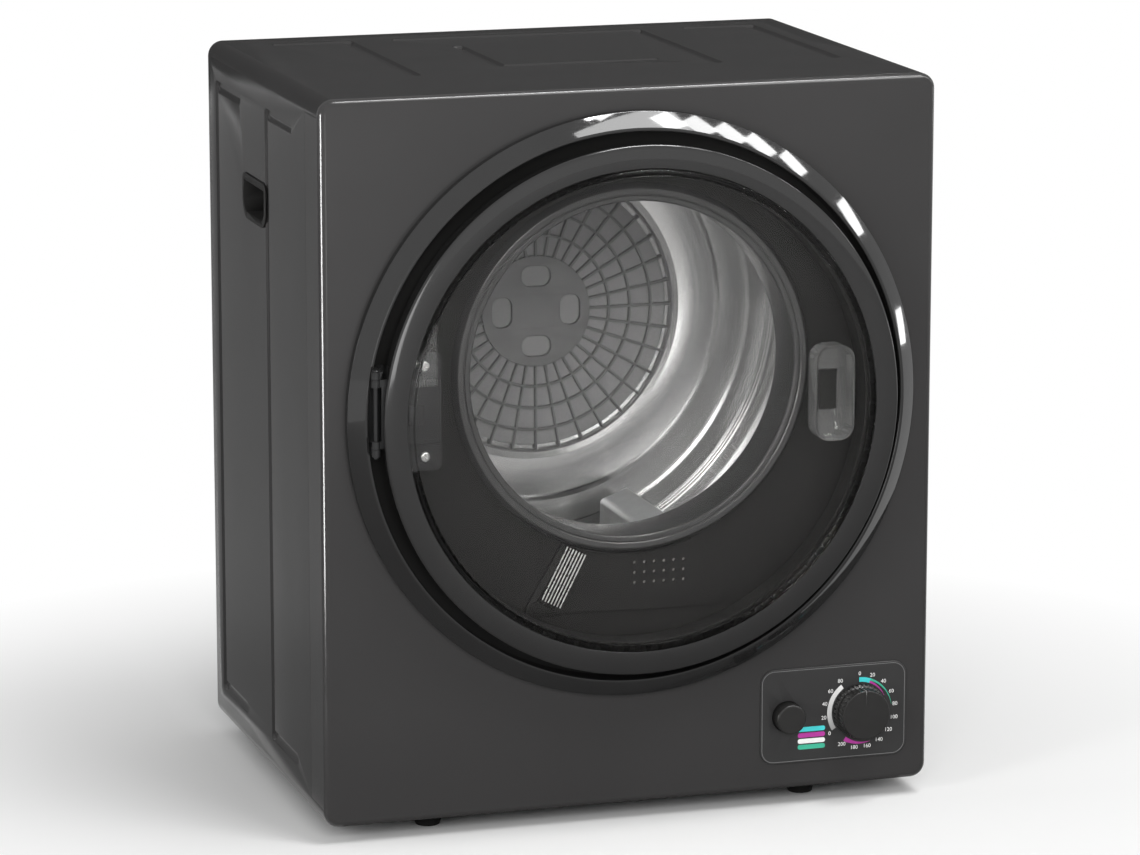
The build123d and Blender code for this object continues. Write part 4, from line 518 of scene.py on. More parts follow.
class Tree:
    """A geometry tree with named inputs that ends in realised instances of one finish."""

    KINDS = {float: "NodeSocketFloat", int: "NodeSocketInt", tuple: "NodeSocketVector"}

    def __init__(self, name, **inputs):
        self.group = bpy.data.node_groups.new(name, "GeometryNodeTree")
        self.values = {}
        sockets = self.group.interface
        sockets.new_socket("Geometry", in_out="INPUT", socket_type="NodeSocketGeometry")
        for label, value in inputs.items():
            title = label.replace("_", " ").title()
            socket = sockets.new_socket(title, in_out="INPUT", socket_type=self.KINDS[type(value)])
            self.values[socket.identifier] = value
        sockets.new_socket("Geometry", in_out="OUTPUT", socket_type="NodeSocketGeometry")
        self.inputs = self.group.nodes.new("NodeGroupInput").outputs

    def node(self, kind, sources=(), **settings):
        """A node with its settings, and its inputs linked or set by name."""
        made = self.group.nodes.new(kind if kind.startswith("Shader") else "GeometryNode" + kind)
        for name, value in settings.items():
            setattr(made, name, value)
        for name, source in dict(sources).items():
            if isinstance(source, bpy.types.NodeSocket):
                self.group.links.new(source, made.inputs[name])
            else:
                made.inputs[name].default_value = source
        return made.outputs

    def number(self, operation, first, second):
        """A sum, product or other result of two numbers."""
        return self.node("ShaderNodeMath", {0: first, 1: second}, operation=operation)["Value"]

    def vector(self, x=0.0, y=0.0, z=0.0):
        return self.node("ShaderNodeCombineXYZ", {"X": x, "Y": y, "Z": z})["Vector"]

    def index(self):
        return self.node("InputIndex")["Index"]

    def row(self, count, offset=(0, 0, 0)):
        """Bare points, one for each copy, each set off from the one before."""
        return self.node("MeshLine", {"Count": count, "Offset": offset})["Mesh"]

    def turn(self, count, start):
        """Turns about Z, spread evenly over a full turn, from that many steps on."""
        step = self.number("DIVIDE", 2 * math.pi, count)
        return self.vector(z=self.number("MULTIPLY", self.number("ADD", self.index(), start), step))

    def line(self, start, end):
        return self.node("CurvePrimitiveLine", {"Start": start, "End": end})["Curve"]

    def circle(self, radius, facets):
        return self.node("CurvePrimitiveCircle", {"Resolution": facets, "Radius": radius})["Curve"]

    def copies(self, points, shape, **how):
        """Copies of a shape on points; how gives their Rotation or Scale."""
        return self.node("InstanceOnPoints", {"Points": points, "Instance": shape, **how})["Instances"]

    def real(self, geometry):
        return self.node("RealizeInstances", {"Geometry": geometry})["Geometry"]

    def swept(self, curve, profile):
        """A bar along a curve, closed at its ends."""
        sources = {"Curve": curve, "Profile Curve": profile, "Fill Caps": True}
        return self.node("CurveToMesh", sources)["Mesh"]

    def mesh(self, geometry, material, name, points=()):
        """Runs the tree on bare points and returns its result as a plain mesh."""
        sources = {"Geometry": self.real(geometry), "Material": material}
        dressed = self.node("SetMaterial", sources)["Geometry"]
        output = self.group.nodes.new("NodeGroupOutput")
        self.group.links.new(dressed, output.inputs["Geometry"])
        host_mesh = bpy.data.meshes.new(name)
        host_mesh.from_pydata([tuple(point) for point in points], [], [])
        host = placed(name + "_host", host_mesh)
        modifier = host.modifiers.new(name, "NODES")
        modifier.node_group = self.group
        for identifier, value in self.values.items():
            modifier[identifier] = value
        mesh = settled(host)
        mesh.shade_smooth()
        mesh.set_sharp_from_angle(angle=math.radians(SMALL_CREASE))
        return mesh


# Stage, light and camera

PAPER_ROUGHNESS = 0.9
FLOOR_HALF = 14.0
FLOOR_NEAR = 0.25          # out to here the floor is plain paper and keeps the shadow
FLOOR_FAR = 0.75           # from here on it is as white as the surround
FLOOR_MOTTLE = 600         # size in mm of the paper's faint clouds
CARDS = {                  # middle, width and depth, shades of the back and front edge
    "dark_card_behind": ((0.5, 2.2, 1.35), (3.4, 2.2), (0.07, 0.07)),
    "grey_card_left": ((-1.72, 1.85, 0.002), (2.9, 4.0), (0.56, 0.30)),
    "dark_card_front": ((0.0, -1.69, 0.003), (3.4, 3.02), (0.12, 0.85)),
    "dark_card_under": ((0.0, -0.03, 0.003), (0.46, 0.30), (0.08, 0.08)),
}
STANDING_CARD = "dark_card_behind"    # the others lie on the floor
FILL = 0.35                # light from the surround on the object
WHITE = 1.0                # the surround as it is seen
LAMP_AIM = Vector((0, 0, 0.3))
LAMPS = {                  # place, width and height, power
    "front_soft": ((-0.9, -3.4, 1.6), (1.8, 1.2), 60),
    "overhead": ((0.9, -1.6, 2.9), (1.4, 1.0), 35),
    "left_strip": ((-2.3, -1.5, 0.9), (0.5, 1.7), 27),
    "top_strip": ((0.47, -0.50, 2.08), (0.8, 0.2), 10),
}
SOFT_ONLY = ("front_soft", "left_strip")    # lamps that no shiny face mirrors
GLINTS = {                 # lamps that only shiny faces mirror
    "edge_line": ((-1.0, -0.41, 0.25), (0.25, 0.6), 24),
    "top_line": ((0.47, -0.50, 2.06), (0.9, 0.05), 12),
    "drum_glint": ((-0.1, -2.2, 0.15), (0.5, 0.3), 2),
    "second_window": ((2.17, -0.64, 1.88), (0.24, 0.28), 3.5),
    "third_window": ((2.54, -0.39, 1.26), (0.26, 0.34), 4),
    "fourth_window": ((2.69, -0.07, 0.30), (0.20, 0.26), 2),
}
SHOWN_ON = {"edge_line": "front_panel_skin"}    # a lamp that shows on that piece alone
PANES = 4                  # of the first window
PANE_FIRST = Vector((1.07, -1.07, 2.62))
PANE_LAST = Vector((1.89, -0.77, 2.12))
PANE_SIZE = (0.26, 0.30)
PANE_POWER = 4
for k in range(PANES):
    GLINTS[f"window_pane_{k}"] = (PANE_FIRST.lerp(PANE_LAST, k / (PANES - 1)), PANE_SIZE, PANE_POWER)


def add_lamp(name, place, size, power):
    """A rectangular lamp at place, turned to the object."""
    lamp = bpy.data.lights.new(name, "AREA")
    lamp.shape = "RECTANGLE"
    lamp.size, lamp.size_y = size
    lamp.energy = power
    holder = placed(name, lamp)
    holder.location = place
    holder.rotation_euler = (LAMP_AIM - Vector(place)).to_track_quat("-Z", "Y").to_euler()
    return holder


def seen_rays(tree):
    """1 for rays from the camera, from shiny pieces and through clear ones, 0 for the rest."""
    path = tree.nodes.new("ShaderNodeLightPath")
    seen = path.outputs["Is Camera Ray"]
    for name in ("Is Glossy Ray", "Is Transmission Ray"):
        either = tree.nodes.new("ShaderNodeMath")
        either.operation = "MAXIMUM"
        tree.links.new(seen, either.inputs[0])
        tree.links.new(path.outputs[name], either.inputs[1])
        seen = either.outputs["Value"]
    return seen


def sheet(name, size, place, material):
    """A flat rectangle of the stage."""
    made = bmesh.new()
    bmesh.ops.create_grid(made, x_segments=1, y_segments=1, size=0.5)
    bmesh.ops.scale(made, vec=(*size, 1), verts=made.verts)
    piece = placed(name, mesh_from(made, name))
    piece.data.transform(place)
    piece.data.materials.append(material)
    return piece


def floor_paper():
    """Pale paper near the object, white further out."""
    finish = Finish("floor_paper", (0.90, 0.90, 0.895), PAPER_ROUGHNESS)
    finish.vary_colour(finish.noise(FLOOR_MOTTLE, 2), 0.01)
    reach = finish.node("ShaderNodeVectorMath", operation="LENGTH")
    finish.link(finish.object_coordinates, reach.inputs[0])
    share = finish.node("ShaderNodeMath", operation="MULTIPLY")
    finish.link(finish.between(reach.outputs["Value"], 0.0, 1.0, FLOOR_NEAR, FLOOR_FAR), share.inputs[0])
    finish.link(seen_rays(finish.tree), share.inputs[1])
    finish.blend(share.outputs["Value"], finish.node("ShaderNodeEmission").outputs["Emission"])
    return finish.material


def card(name, place, size, back_shade, front_shade):
    """A grey studio card that only shiny faces mirror, of one shade or fading towards the front."""
    finish = Finish(name, (back_shade,) * 3, PAPER_ROUGHNESS)
    if front_shade != back_shade:
        back_edge = place[1] + size[1] / 2
        finish.fade("Y", (back_shade,) * 3, (front_shade,) * 3, back_edge, back_edge - size[1])
    lean = math.radians(90) if name == STANDING_CARD else 0.0
    pose = Matrix.Translation(place) @ Matrix.Rotation(lean, 4, "X")
    piece = sheet(name, size, pose, finish.material)
    piece.visible_camera = False
    piece.visible_diffuse = False
    piece.visible_transmission = False
    piece.visible_shadow = False


def light_surround():
    """Soft light all round, seen as white."""
    world = bpy.data.worlds.new("surround")
    bpy.context.scene.world = world
    world.use_nodes = True
    tree = world.node_tree
    tree.nodes.clear()
    mix = tree.nodes.new("ShaderNodeMixShader")
    tree.links.new(seen_rays(tree), mix.inputs["Fac"])
    for k, strength in enumerate((FILL, WHITE)):
        light = tree.nodes.new("ShaderNodeBackground")
        light.inputs["Strength"].default_value = strength
        tree.links.new(light.outputs["Background"], mix.inputs[k + 1])
    output = tree.nodes.new("ShaderNodeOutputWorld")
    tree.links.new(mix.outputs["Shader"], output.inputs["Surface"])


def light_stage():
    """Pale floor, white surround, soft lamps, and the cards and lamps that only shiny faces mirror."""
    sheet("floor", (2 * FLOOR_HALF, 2 * FLOOR_HALF), Matrix(), floor_paper())
    for name, (place, size, shades) in CARDS.items():
        card(name, place, size, *shades)
    light_surround()
    for name, setting in LAMPS.items():
        add_lamp(name, *setting).visible_glossy = name not in SOFT_ONLY
    for name, setting in GLINTS.items():
        lamp = add_lamp(name, *setting)
        lamp.visible_diffuse = False
        if name in SHOWN_ON:
            shown = bpy.data.collections.new(name + "_shown_on")
            shown.objects.link(bpy.data.objects[SHOWN_ON[name]])
            lamp.light_linking.receiver_collection = shown


def add_camera():
    camera = bpy.data.cameras.new("photo_camera")
    camera.sensor_width = SENSOR
    camera.lens = FOCAL_PIXELS * SENSOR / PHOTO_WIDTH
    holder = placed("photo_camera", camera)
    level = math.cos(CAMERA_ELEVATION)
    toward_eye = Vector((
        level * math.sin(CAMERA_AZIMUTH),
        -level * math.cos(CAMERA_AZIMUTH),
        math.sin(CAMERA_ELEVATION),
    ))
    holder.location = CAMERA_AIM + toward_eye * CAMERA_DISTANCE
    holder.rotation_euler = toward_eye.to_track_quat("Z", "Y").to_euler()
    bpy.context.scene.camera = holder
    bpy.context.scene.view_settings.view_transform = "Standard"


# Solids that keep their shape

SMOOTHED = (               # get even shading; the rest is rebuilt below or only gets its finish
    "cabinet_wrap", "front_panel", "front_bulkhead", "side_handle_left", "side_handle_right", "rear_panel",
    "base_tray", "feet", "control_fascia", "timer_knob", "heat_button", "hinge_leaf", "hinge_bracket",
    "hinge_pin", "window_retainer", "door_gasket", "latch_housing", "latch_tongue", "lint_cover", "lifters",
    "grille_net", "exhaust_collar", "cord_gland", "drum_spider", "front_felt",
)
OWN_CREASE = {
    "cabinet_wrap": 62.0, "rear_panel": 10.0, "control_fascia": 50.0, "door_gasket": 50.0,
    "latch_housing": SMALL_CREASE, "latch_tongue": SMALL_CREASE, "lifters": SMALL_CREASE,
}


def dress_solids():
    for node, piece in frame["nodes"].items():
        piece.data.materials.clear()
        piece.data.materials.append(FINISHES[NODE_SLOT[node]])


def smooth_solids():
    for node in SMOOTHED:
        stand_for(node + "_skin", smooth_copy(node, OWN_CREASE.get(node, CREASE)), node)


# Door and bezel

DOOR_SEGMENTS = 256
RING_FACE = 18.6 * MM      # width of the ring's flat face
RING_DRAFT = 4.3 * MM
RING_SKIN = 2.4 * MM
RING_EDGE = 1.6 * MM
RING_INNER_EDGE = 0.5 * MM
RING_BACK_EDGE = 0.6 * MM
WINDOW_SEAT = 5.0 * MM
WINDOW_THICKNESS = 3.0 * MM
WINDOW_EDGE = 1.8 * MM
WINDOW_INNER_EDGE = 1.0 * MM
WINDOW_RADIUS = DOOR_RADIUS - RING_FACE
BEZEL_SLOPE = 12.7 * MM
BEZEL_WALL = 1.8 * MM
BEZEL_EDGE = 1.0 * MM
BEZEL_FOOT = 7.0 * MM      # height of the rim below the slope


def door_ring():
    face = low("door_ring").y
    back = high("door_ring").y
    rim_back = DOOR_RADIUS - RING_DRAFT
    under = face + RING_SKIN
    corners = (
        (WINDOW_RADIUS, face, RING_INNER_EDGE),
        (DOOR_RADIUS, face, RING_EDGE),
        (rim_back, back, RING_BACK_EDGE),
        (rim_back - RING_SKIN, back, RING_BACK_EDGE),
        (DOOR_RADIUS - RING_SKIN, under, 0),
        (WINDOW_RADIUS, under, 0),
    )
    turned("door_ring", corners, DOOR_AXIS, DOOR_SEGMENTS)


def door_window():
    face = low("door_window").y
    edge = WINDOW_RADIUS - CLEARANCE
    flange = WINDOW_RADIUS + WINDOW_SEAT
    inner = WINDOW_RADIUS - WINDOW_SEAT
    seat_back = high("door_window").y
    seat_front = seat_back - WINDOW_THICKNESS
    corners = (
        (0, face, 0),
        (edge, face, WINDOW_EDGE),
        (edge, seat_front, 0),
        (flange, seat_front, 0),
        (flange, seat_back, 0),
        (inner, seat_back, 0),
        (inner, face + WINDOW_THICKNESS, WINDOW_INNER_EDGE),
        (0, face + WINDOW_THICKNESS, 0),
    )
    turned("door_window", corners, DOOR_AXIS, DOOR_SEGMENTS)


def door_bezel():
    crest = low("door_bezel").y
    back = high("door_bezel").y
    crest_radius = BEZEL_RADIUS - BEZEL_SLOPE
    corners = (
        (BEZEL_RADIUS, FRONT, 0),
        (BEZEL_RADIUS, FRONT - BEZEL_FOOT, BEZEL_EDGE),
        (crest_radius + BEZEL_WALL / 2, crest, BEZEL_EDGE),
        (crest_radius - BEZEL_WALL, crest, BEZEL_EDGE),
        (crest_radius - BEZEL_WALL, back, 0),
        (crest_radius, back, 0),
        (crest_radius, crest + 2 * BEZEL_WALL, 0),
        (BEZEL_RADIUS - 1.5 * BEZEL_WALL, FRONT, 0),
    )
    turned("door_bezel", corners, DOOR_AXIS, DOOR_SEGMENTS)


# Drum and its mouth

MOUTH_SEGMENTS = 224
MOUTH_FLANGE = 14.5 * MM
MOUTH_WALL = 2.0 * MM
MOUTH_PROUD = 6.0 * MM
MOUTH_SLOPE = 4.5 * MM     # width of the slope at the flange's rim
MOUTH_SLOPE_EDGE = 2.0 * MM
MOUTH_RIM_EDGE = 0.4 * MM
MOUTH_LIP_EDGE = 2.2 * MM
MOUTH_BACK_EDGE = 0.5 * MM
GROOVE = 5.2 * MM          # middle of the groove in the flange, from the bore
GROOVE_HALF = 1.0 * MM     # half the groove's width, and its depth
GROOVE_EDGE = 0.9 * MM
GROOVE_BOTTOM = 0.5 * MM   # rounding at the bottom of the groove
DRUM_SEGMENTS = 192
DRUM_STEPS = 4
DRUM_SHEET = 1.0 * MM
DRUM_CORNER = 1.5 * MM
NECK_EDGE = 2.0 * MM
ROLL_DEPTHS = (78 * MM, 118 * MM, 158 * MM, 236 * MM)    # rolled rings, behind the front panel's face
ROLL_PROUD = 3.0 * MM
ROLL_HALF = 8.5 * MM       # half the width of a rolled ring where it leaves the wall
ROLL_FLAT = 3.0 * MM
ROLL_EDGE = 4.0 * MM
DISH_RINGS = (             # distance from the grille's rim, width, rise
    (6.0 * MM, 30.0 * MM, 6.0 * MM),
    (42.0 * MM, 20.0 * MM, 4.5 * MM),
    (68.0 * MM, 14.0 * MM, 3.5 * MM),
)
DISH_STEP = 2.0 * MM       # width of the step back behind each dished ring
DISH_EDGE = 1.2 * MM
DISH_STEP_EDGE = 0.6 * MM
SEAM_HALF = math.radians(0.35)
SEAM_PROUD = 0.5 * MM
SEAM_SUNK = 0.2 * MM       # depth of the seam's foot in the wall
SEAM_END = 2.0 * MM        # from the wall's ends


def mouth_ring():
    """Lip with a groove round it, and a tube back into the drum's neck."""
    outer = radius_of("mouth_ring")
    bore = outer - MOUTH_FLANGE
    front = low("mouth_ring").y
    seat = front + MOUTH_PROUD
    back = high("mouth_ring").y
    groove = bore + GROOVE
    corners = (
        (bore, back, MOUTH_BACK_EDGE),
        (bore, front, MOUTH_LIP_EDGE),
        (groove - GROOVE_HALF, front, GROOVE_EDGE),
        (groove, front + GROOVE_HALF, GROOVE_BOTTOM),
        (groove + GROOVE_HALF, front, GROOVE_EDGE),
        (outer - MOUTH_SLOPE, front, MOUTH_SLOPE_EDGE),
        (outer, seat, MOUTH_RIM_EDGE),
        (bore + MOUTH_WALL, seat, 0),
        (bore + MOUTH_WALL, back, MOUTH_BACK_EDGE),
    )
    turned("mouth_ring", corners, DRUM_AXIS, MOUTH_SEGMENTS)


def drum_wall_line(radius, start, end):
    """The rolled wall as (radius, y, corner radius), from start to end."""
    line = [(radius, start, DRUM_CORNER)]
    for depth in ROLL_DEPTHS:
        roll = FRONT + depth
        line += [
            (radius, roll - ROLL_HALF, ROLL_EDGE),
            (radius + ROLL_PROUD, roll - ROLL_FLAT, ROLL_EDGE),
            (radius + ROLL_PROUD, roll + ROLL_FLAT, ROLL_EDGE),
            (radius, roll + ROLL_HALF, ROLL_EDGE),
        ]
    return line + [(radius, end, DRUM_CORNER)]


def dished_plate_line(back):
    """The inner face of the back plate as (radius, y, corner radius), from the wall to the grille's rim."""
    line = []
    for gap, width, rise in reversed(DISH_RINGS):
        inner = GRILLE_RADIUS + gap
        outer = inner + width
        line += [
            (outer + DISH_STEP, back, DISH_STEP_EDGE),
            (outer, back - rise, DISH_EDGE),
            (inner, back, DISH_EDGE),
        ]
    return line


def drum_body():
    """Neck, front cone, rolled wall and dished back plate."""
    neck = radius_of("front_felt") + CLEARANCE
    neck_outside = neck + DRUM_SHEET
    neck_front = low("drum_front").y
    cone_front = high("front_felt").y
    start = low("drum_shell").y
    inside_back = low("drum_back").y
    outside_back = high("drum_back").y
    opening = radius_of("grille_net") + CLEARANCE
    corners = [(neck, neck_front, 0), (neck, cone_front, NECK_EDGE)]
    corners += drum_wall_line(DRUM_RADIUS - DRUM_SHEET, start, inside_back)
    corners += dished_plate_line(inside_back)
    corners += [(opening, inside_back, 0), (opening, outside_back, 0)]
    corners += reversed(drum_wall_line(DRUM_RADIUS, start - DRUM_SHEET, outside_back))
    corners += [(neck_outside, cone_front - DRUM_SHEET, NECK_EDGE), (neck_outside, neck_front, 0)]
    mesh = lathe("drum_sheet", corners, DRUM_AXIS, DRUM_SEGMENTS, DRUM_STEPS)
    add_piece("drum_sheet", mesh, "drum", "stainless_steel", "drum_shell", "drum_front", "drum_back")


def drum_seam():
    """The welded joint along the drum's wall."""
    start = low("drum_shell").y
    end = low("drum_back").y
    # a point on the axis closes the outline, so that the wall's two end corners have both their sides
    outline = [(0, start, 0)]
    outline += drum_wall_line(DRUM_RADIUS - DRUM_SHEET, start + SEAM_END, end - SEAM_END)
    section = (
        (-SEAM_HALF, 0), (-SEAM_HALF / 2, SEAM_PROUD), (SEAM_HALF / 2, SEAM_PROUD), (SEAM_HALF, 0),
    )
    rows = []
    for point in rounded_corners(outline, DRUM_STEPS)[1:]:
        foot = point.x + SEAM_SUNK
        rows.append([on_circle(DRUM_AXIS, foot - lift, turn, point.y) for turn, lift in section])
    add_piece("drum_seam", bar("drum_seam", rows), "drum", "stainless_steel")


# Grille at the back of the drum

GRILLE_SPOKES = 36
GRILLE_RINGS = 4
GRILLE_RIB = 2.2 * MM
GRILLE_RIB_ROUNDING = 0.35    # share of the rib's width
GRILLE_FACETS = 120
GRILLE_HUB = 46.0 * MM
HUB_EDGE = 0.5 * MM
HUB_FACETS = 96
HUB_WINDOWS = 4
HUB_WINDOW = (17.0 * MM, 25.0 * MM)
HUB_WINDOW_CORNER = 7.6 * MM
HUB_WINDOW_OFFSET = 29.0 * MM


def grille_grid():
    """Polar grid of moulded ribs between the hub and the rim."""
    tree = Tree(
        "polar_grid", hub_radius=GRILLE_HUB, outer_radius=GRILLE_RADIUS, spokes=GRILLE_SPOKES,
        rings=GRILLE_RINGS, rib_width=GRILLE_RIB, rib_depth=GRILLE_DEPTH,
    )
    hub, rim, width = (tree.inputs[name] for name in ("Hub Radius", "Outer Radius", "Rib Width"))
    rectangle = {"Width": width, "Height": tree.inputs["Rib Depth"]}
    section = tree.node("CurvePrimitiveQuadrilateral", rectangle)["Curve"]
    corner = tree.number("MULTIPLY", width, GRILLE_RIB_ROUNDING)
    section = tree.node("FilletCurve", {"Curve": section, "Radius": corner, "Count": 2}, mode="POLY")["Curve"]
    step = tree.number("DIVIDE", tree.number("SUBTRACT", rim, hub), tree.inputs["Rings"])
    reach = tree.number("ADD", hub, tree.number("MULTIPLY", tree.number("ADD", tree.index(), 1.0), step))
    reach = tree.number("SUBTRACT", reach, tree.number("MULTIPLY", width, 0.5))
    circle = tree.circle(1.0, GRILLE_FACETS)
    rings = tree.copies(tree.row(tree.inputs["Rings"]), circle, Scale=tree.vector(reach, reach, 1.0))
    line = tree.line(tree.vector(hub), tree.vector(tree.number("SUBTRACT", rim, width)))
    line = tree.node("ResampleCurve", {"Curve": line, "Count": 2})["Curve"]
    count = tree.inputs["Spokes"]
    spokes = tree.copies(tree.row(count), line, Rotation=tree.turn(count, start=0.0))
    both = tree.group.nodes.new("GeometryNodeJoinGeometry")
    for part in (rings, spokes):
        tree.group.links.new(part, both.inputs["Geometry"])
    curves = tree.real(both.outputs["Geometry"])
    level = tree.node("SetCurveNormal", {"Curve": curves}, mode="Z_UP")["Curve"]
    mesh = tree.mesh(tree.swept(level, section), FINISHES["grille_plastic"], "grille_grid")
    add_piece("grille_grid", upright(mesh, middle("rear_grille")), "drum", "grille_plastic", "rear_grille")


def grille_hub():
    """Plate in the middle of the grid, with four rounded windows."""
    outlines = [circle_points(GRILLE_HUB, HUB_FACETS)]
    window = rounded_box_points(*HUB_WINDOW, HUB_WINDOW_CORNER, (HUB_WINDOW_OFFSET, 0))
    for turn in turns(HUB_WINDOWS):
        spin = Matrix.Rotation(turn, 2)
        outlines.append([tuple(spin @ Vector(point)) for point in window])
    mesh = flat_plate("grille_hub", outlines, GRILLE_DEPTH, HUB_EDGE)
    add_piece("grille_hub", upright(mesh, middle("rear_grille")), "drum", "grille_plastic", "rear_grille")


# Screws

SCREW_SEGMENTS = 48
SCREW_LEVELS = 14          # rings of vertices over the head
SCREW_RADIUS = 4.0 * MM
SCREW_HEAD = 2.2 * MM
SCREW_SHANK = 2.0 * MM
SCREW_LENGTH = 7.0 * MM
DOME_POWER = 4             # a higher power makes a flatter head
DOME_RIM = 0.04            # square of the rim's share of the head's height
CROSS_HALF = 0.55 * MM
CROSS_REACH = 2.3 * MM
CROSS_DEPTH = 1.2 * MM
CROSS_RISE = 0.5           # share of its depth that the recess loses towards its ends


def islands(node):
    """Boxes of the separate solids of one node."""
    made = merged(frame["nodes"][node].data)
    left = set(made.verts)
    boxes = []
    while left:
        reached = [left.pop()]
        for vert in reached:
            for edge in vert.link_edges:
                other = edge.other_vert(vert)
                if other in left:
                    left.remove(other)
                    reached.append(other)
        by_axis = list(zip(*(vert.co for vert in reached)))
        boxes.append([Vector([pick(values) for values in by_axis]) for pick in (min, max)])
    made.free()
    return boxes


def head_height(x, y):
    """Height of the screw's head at a place on it, less the cross recess."""
    share = math.hypot(x, y) / SCREW_RADIUS
    height = SCREW_HEAD * math.sqrt(max(1 - share ** DOME_POWER, DOME_RIM))
    near, far = sorted((abs(x), abs(y)))
    if near < CROSS_HALF and far < CROSS_REACH:
        height -= CROSS_DEPTH * (1 - CROSS_RISE * far / CROSS_REACH)
    return height


def screw_mesh():
    """Pan head with a cross recess and a plain shank, standing on its seat and looking up."""
    made = bmesh.new()
    rings = []
    for k in range(1, SCREW_LEVELS + 1):
        places = circle_points(SCREW_RADIUS * k / SCREW_LEVELS, SCREW_SEGMENTS)
        rings.append([made.verts.new((x, y, head_height(x, y))) for x, y in places])
    for radius, height in ((SCREW_RADIUS, 0), (SCREW_SHANK, 0), (SCREW_SHANK, -SCREW_LENGTH)):
        places = circle_points(radius, SCREW_SEGMENTS)
        rings.append([made.verts.new((x, y, height)) for x, y in places])
    for ring, other in zip(rings, rings[1:]):
        for j in range(SCREW_SEGMENTS):
            made.faces.new((ring[j - 1], ring[j], other[j], other[j - 1]))
    middle_vert = made.verts.new((0, 0, SCREW_HEAD - CROSS_DEPTH))
    for j in range(SCREW_SEGMENTS):
        made.faces.new((middle_vert, rings[0][j], rings[0][j - 1]))
    made.faces.new(rings[-1])
    bmesh.ops.recalc_face_normals(made, faces=made.faces)
    return mesh_from(made, "screw_form", SMALL_CREASE)


def screws(name, node, facing):
    """Screws on the seats of one node; facing is -1 when their heads look to the front, 1 to the back."""
    seats = []
    for least, most in islands(node):
        centre = (least + most) / 2
        seat = most.y - SCREW_HEAD if facing > 0 else least.y + SCREW_HEAD
        seats.append((centre.x, seat, centre.z))
    form = placed("screw_form", screw_mesh())
    tree = Tree("screw_row", lean=(-facing * math.pi / 2, 0.0, 0.0))
    shape = tree.node("ObjectInfo", {"Object": form})["Geometry"]
    copies = tree.copies(tree.inputs["Geometry"], shape, Rotation=tree.inputs["Lean"])
    mesh = tree.mesh(copies, FINISHES["zinc_steel"], name, seats)
    bpy.data.objects.remove(form)
    stand_for(name, mesh, node)


# Lint cover ribs

RIB_COUNT = 7
RIB_PITCH = 2.7 * MM
RIB_RADIUS = 0.62 * MM
RIB_FACETS = 12
RIB_MARGIN = 5.0 * MM      # first rib inside the cover's left edge
RIB_RISE = 18.0 * MM       # lower ends of the ribs, along that edge
COVER_TOP_WIDTH = 103.0 * MM


def lint_ribs():
    """A bright bead on each rib along the cover's left edge."""
    least, most = low("lint_cover"), high("lint_cover")
    ring_low = low("mouth_ring").z
    tube_low = ring_low + MOUTH_FLANGE - MOUTH_WALL
    lean = math.atan2(((most.x - least.x) - COVER_TOP_WIDTH) / 2, tube_low - least.z)
    upward = Vector((math.sin(lean), 0, math.cos(lean)))
    inward = Vector((math.cos(lean), 0, -math.sin(lean)))
    start = least + inward * RIB_MARGIN + upward * RIB_RISE
    end = start + upward * (ring_low - least.z)
    tree = Tree(
        "rib_row", count=RIB_COUNT, first=tuple(start), last=tuple(end), pitch=tuple(inward * RIB_PITCH),
        rib_radius=RIB_RADIUS,
    )
    line = tree.line(tree.inputs["First"], tree.inputs["Last"])
    lines = tree.copies(tree.row(tree.inputs["Count"], tree.inputs["Pitch"]), line)
    section = tree.circle(tree.inputs["Rib Radius"], RIB_FACETS)
    mesh = tree.mesh(tree.swept(tree.real(lines), section), FINISHES["zinc_steel"], "lint_ribs")
    add_piece("lint_ribs", mesh, "cabinet", "zinc_steel")


# Hinge pad

HINGE_BLOCK = (25.0 * MM, 49.0 * MM, 3.4 * MM)    # width, height, depth
HINGE_BLOCK_EDGE = 0.9 * MM
HINGE_BLOCK_INSET = 13.5 * MM    # middle of the block, from the leaf's right end
HINGE_BLOCK_FOOT = 1.5 * MM      # in front of the leaf's back
HINGE_BOSS = (10.0 * MM, 15.0 * MM, 1.4 * MM)
HINGE_BOSS_EDGE = 0.5 * MM
HINGE_BOSS_SUNK = 0.2 * MM       # depth of the boss's foot in the block
HINGE_BOSS_LEFT = 6.0 * MM       # of the block's middle
HINGE_BOSS_DOWN = 2.0 * MM


def bevelled_block(name, size, place, edge):
    """A painted block with rounded edges on the door, standing forward from place."""
    made = bmesh.new()
    bmesh.ops.create_cube(made, size=1.0)
    width, tall, depth = size
    bmesh.ops.scale(made, vec=(width, depth, tall), verts=made.verts)
    bmesh.ops.translate(made, vec=Vector(place) + Vector((0, -depth / 2, 0)), verts=made.verts)
    bmesh.ops.bevel(made, geom=made.edges[:], offset=edge, segments=4, profile=0.5, affect="EDGES")
    add_piece(name, mesh_from(made, name, SMALL_CREASE), "door", "hinge_paint")


def hinge_block():
    """Raised block on the hinge pad, with a small boss."""
    leaf = high("hinge_leaf")
    foot = Vector((leaf.x - HINGE_BLOCK_INSET, leaf.y - HINGE_BLOCK_FOOT, middle("hinge_leaf").z))
    bevelled_block("hinge_block", HINGE_BLOCK, foot, HINGE_BLOCK_EDGE)
    boss_foot = foot + Vector((-HINGE_BOSS_LEFT, HINGE_BOSS_SUNK - HINGE_BLOCK[2], -HINGE_BOSS_DOWN))
    bevelled_block("hinge_boss", HINGE_BOSS, boss_foot, HINGE_BOSS_EDGE)


# Controls

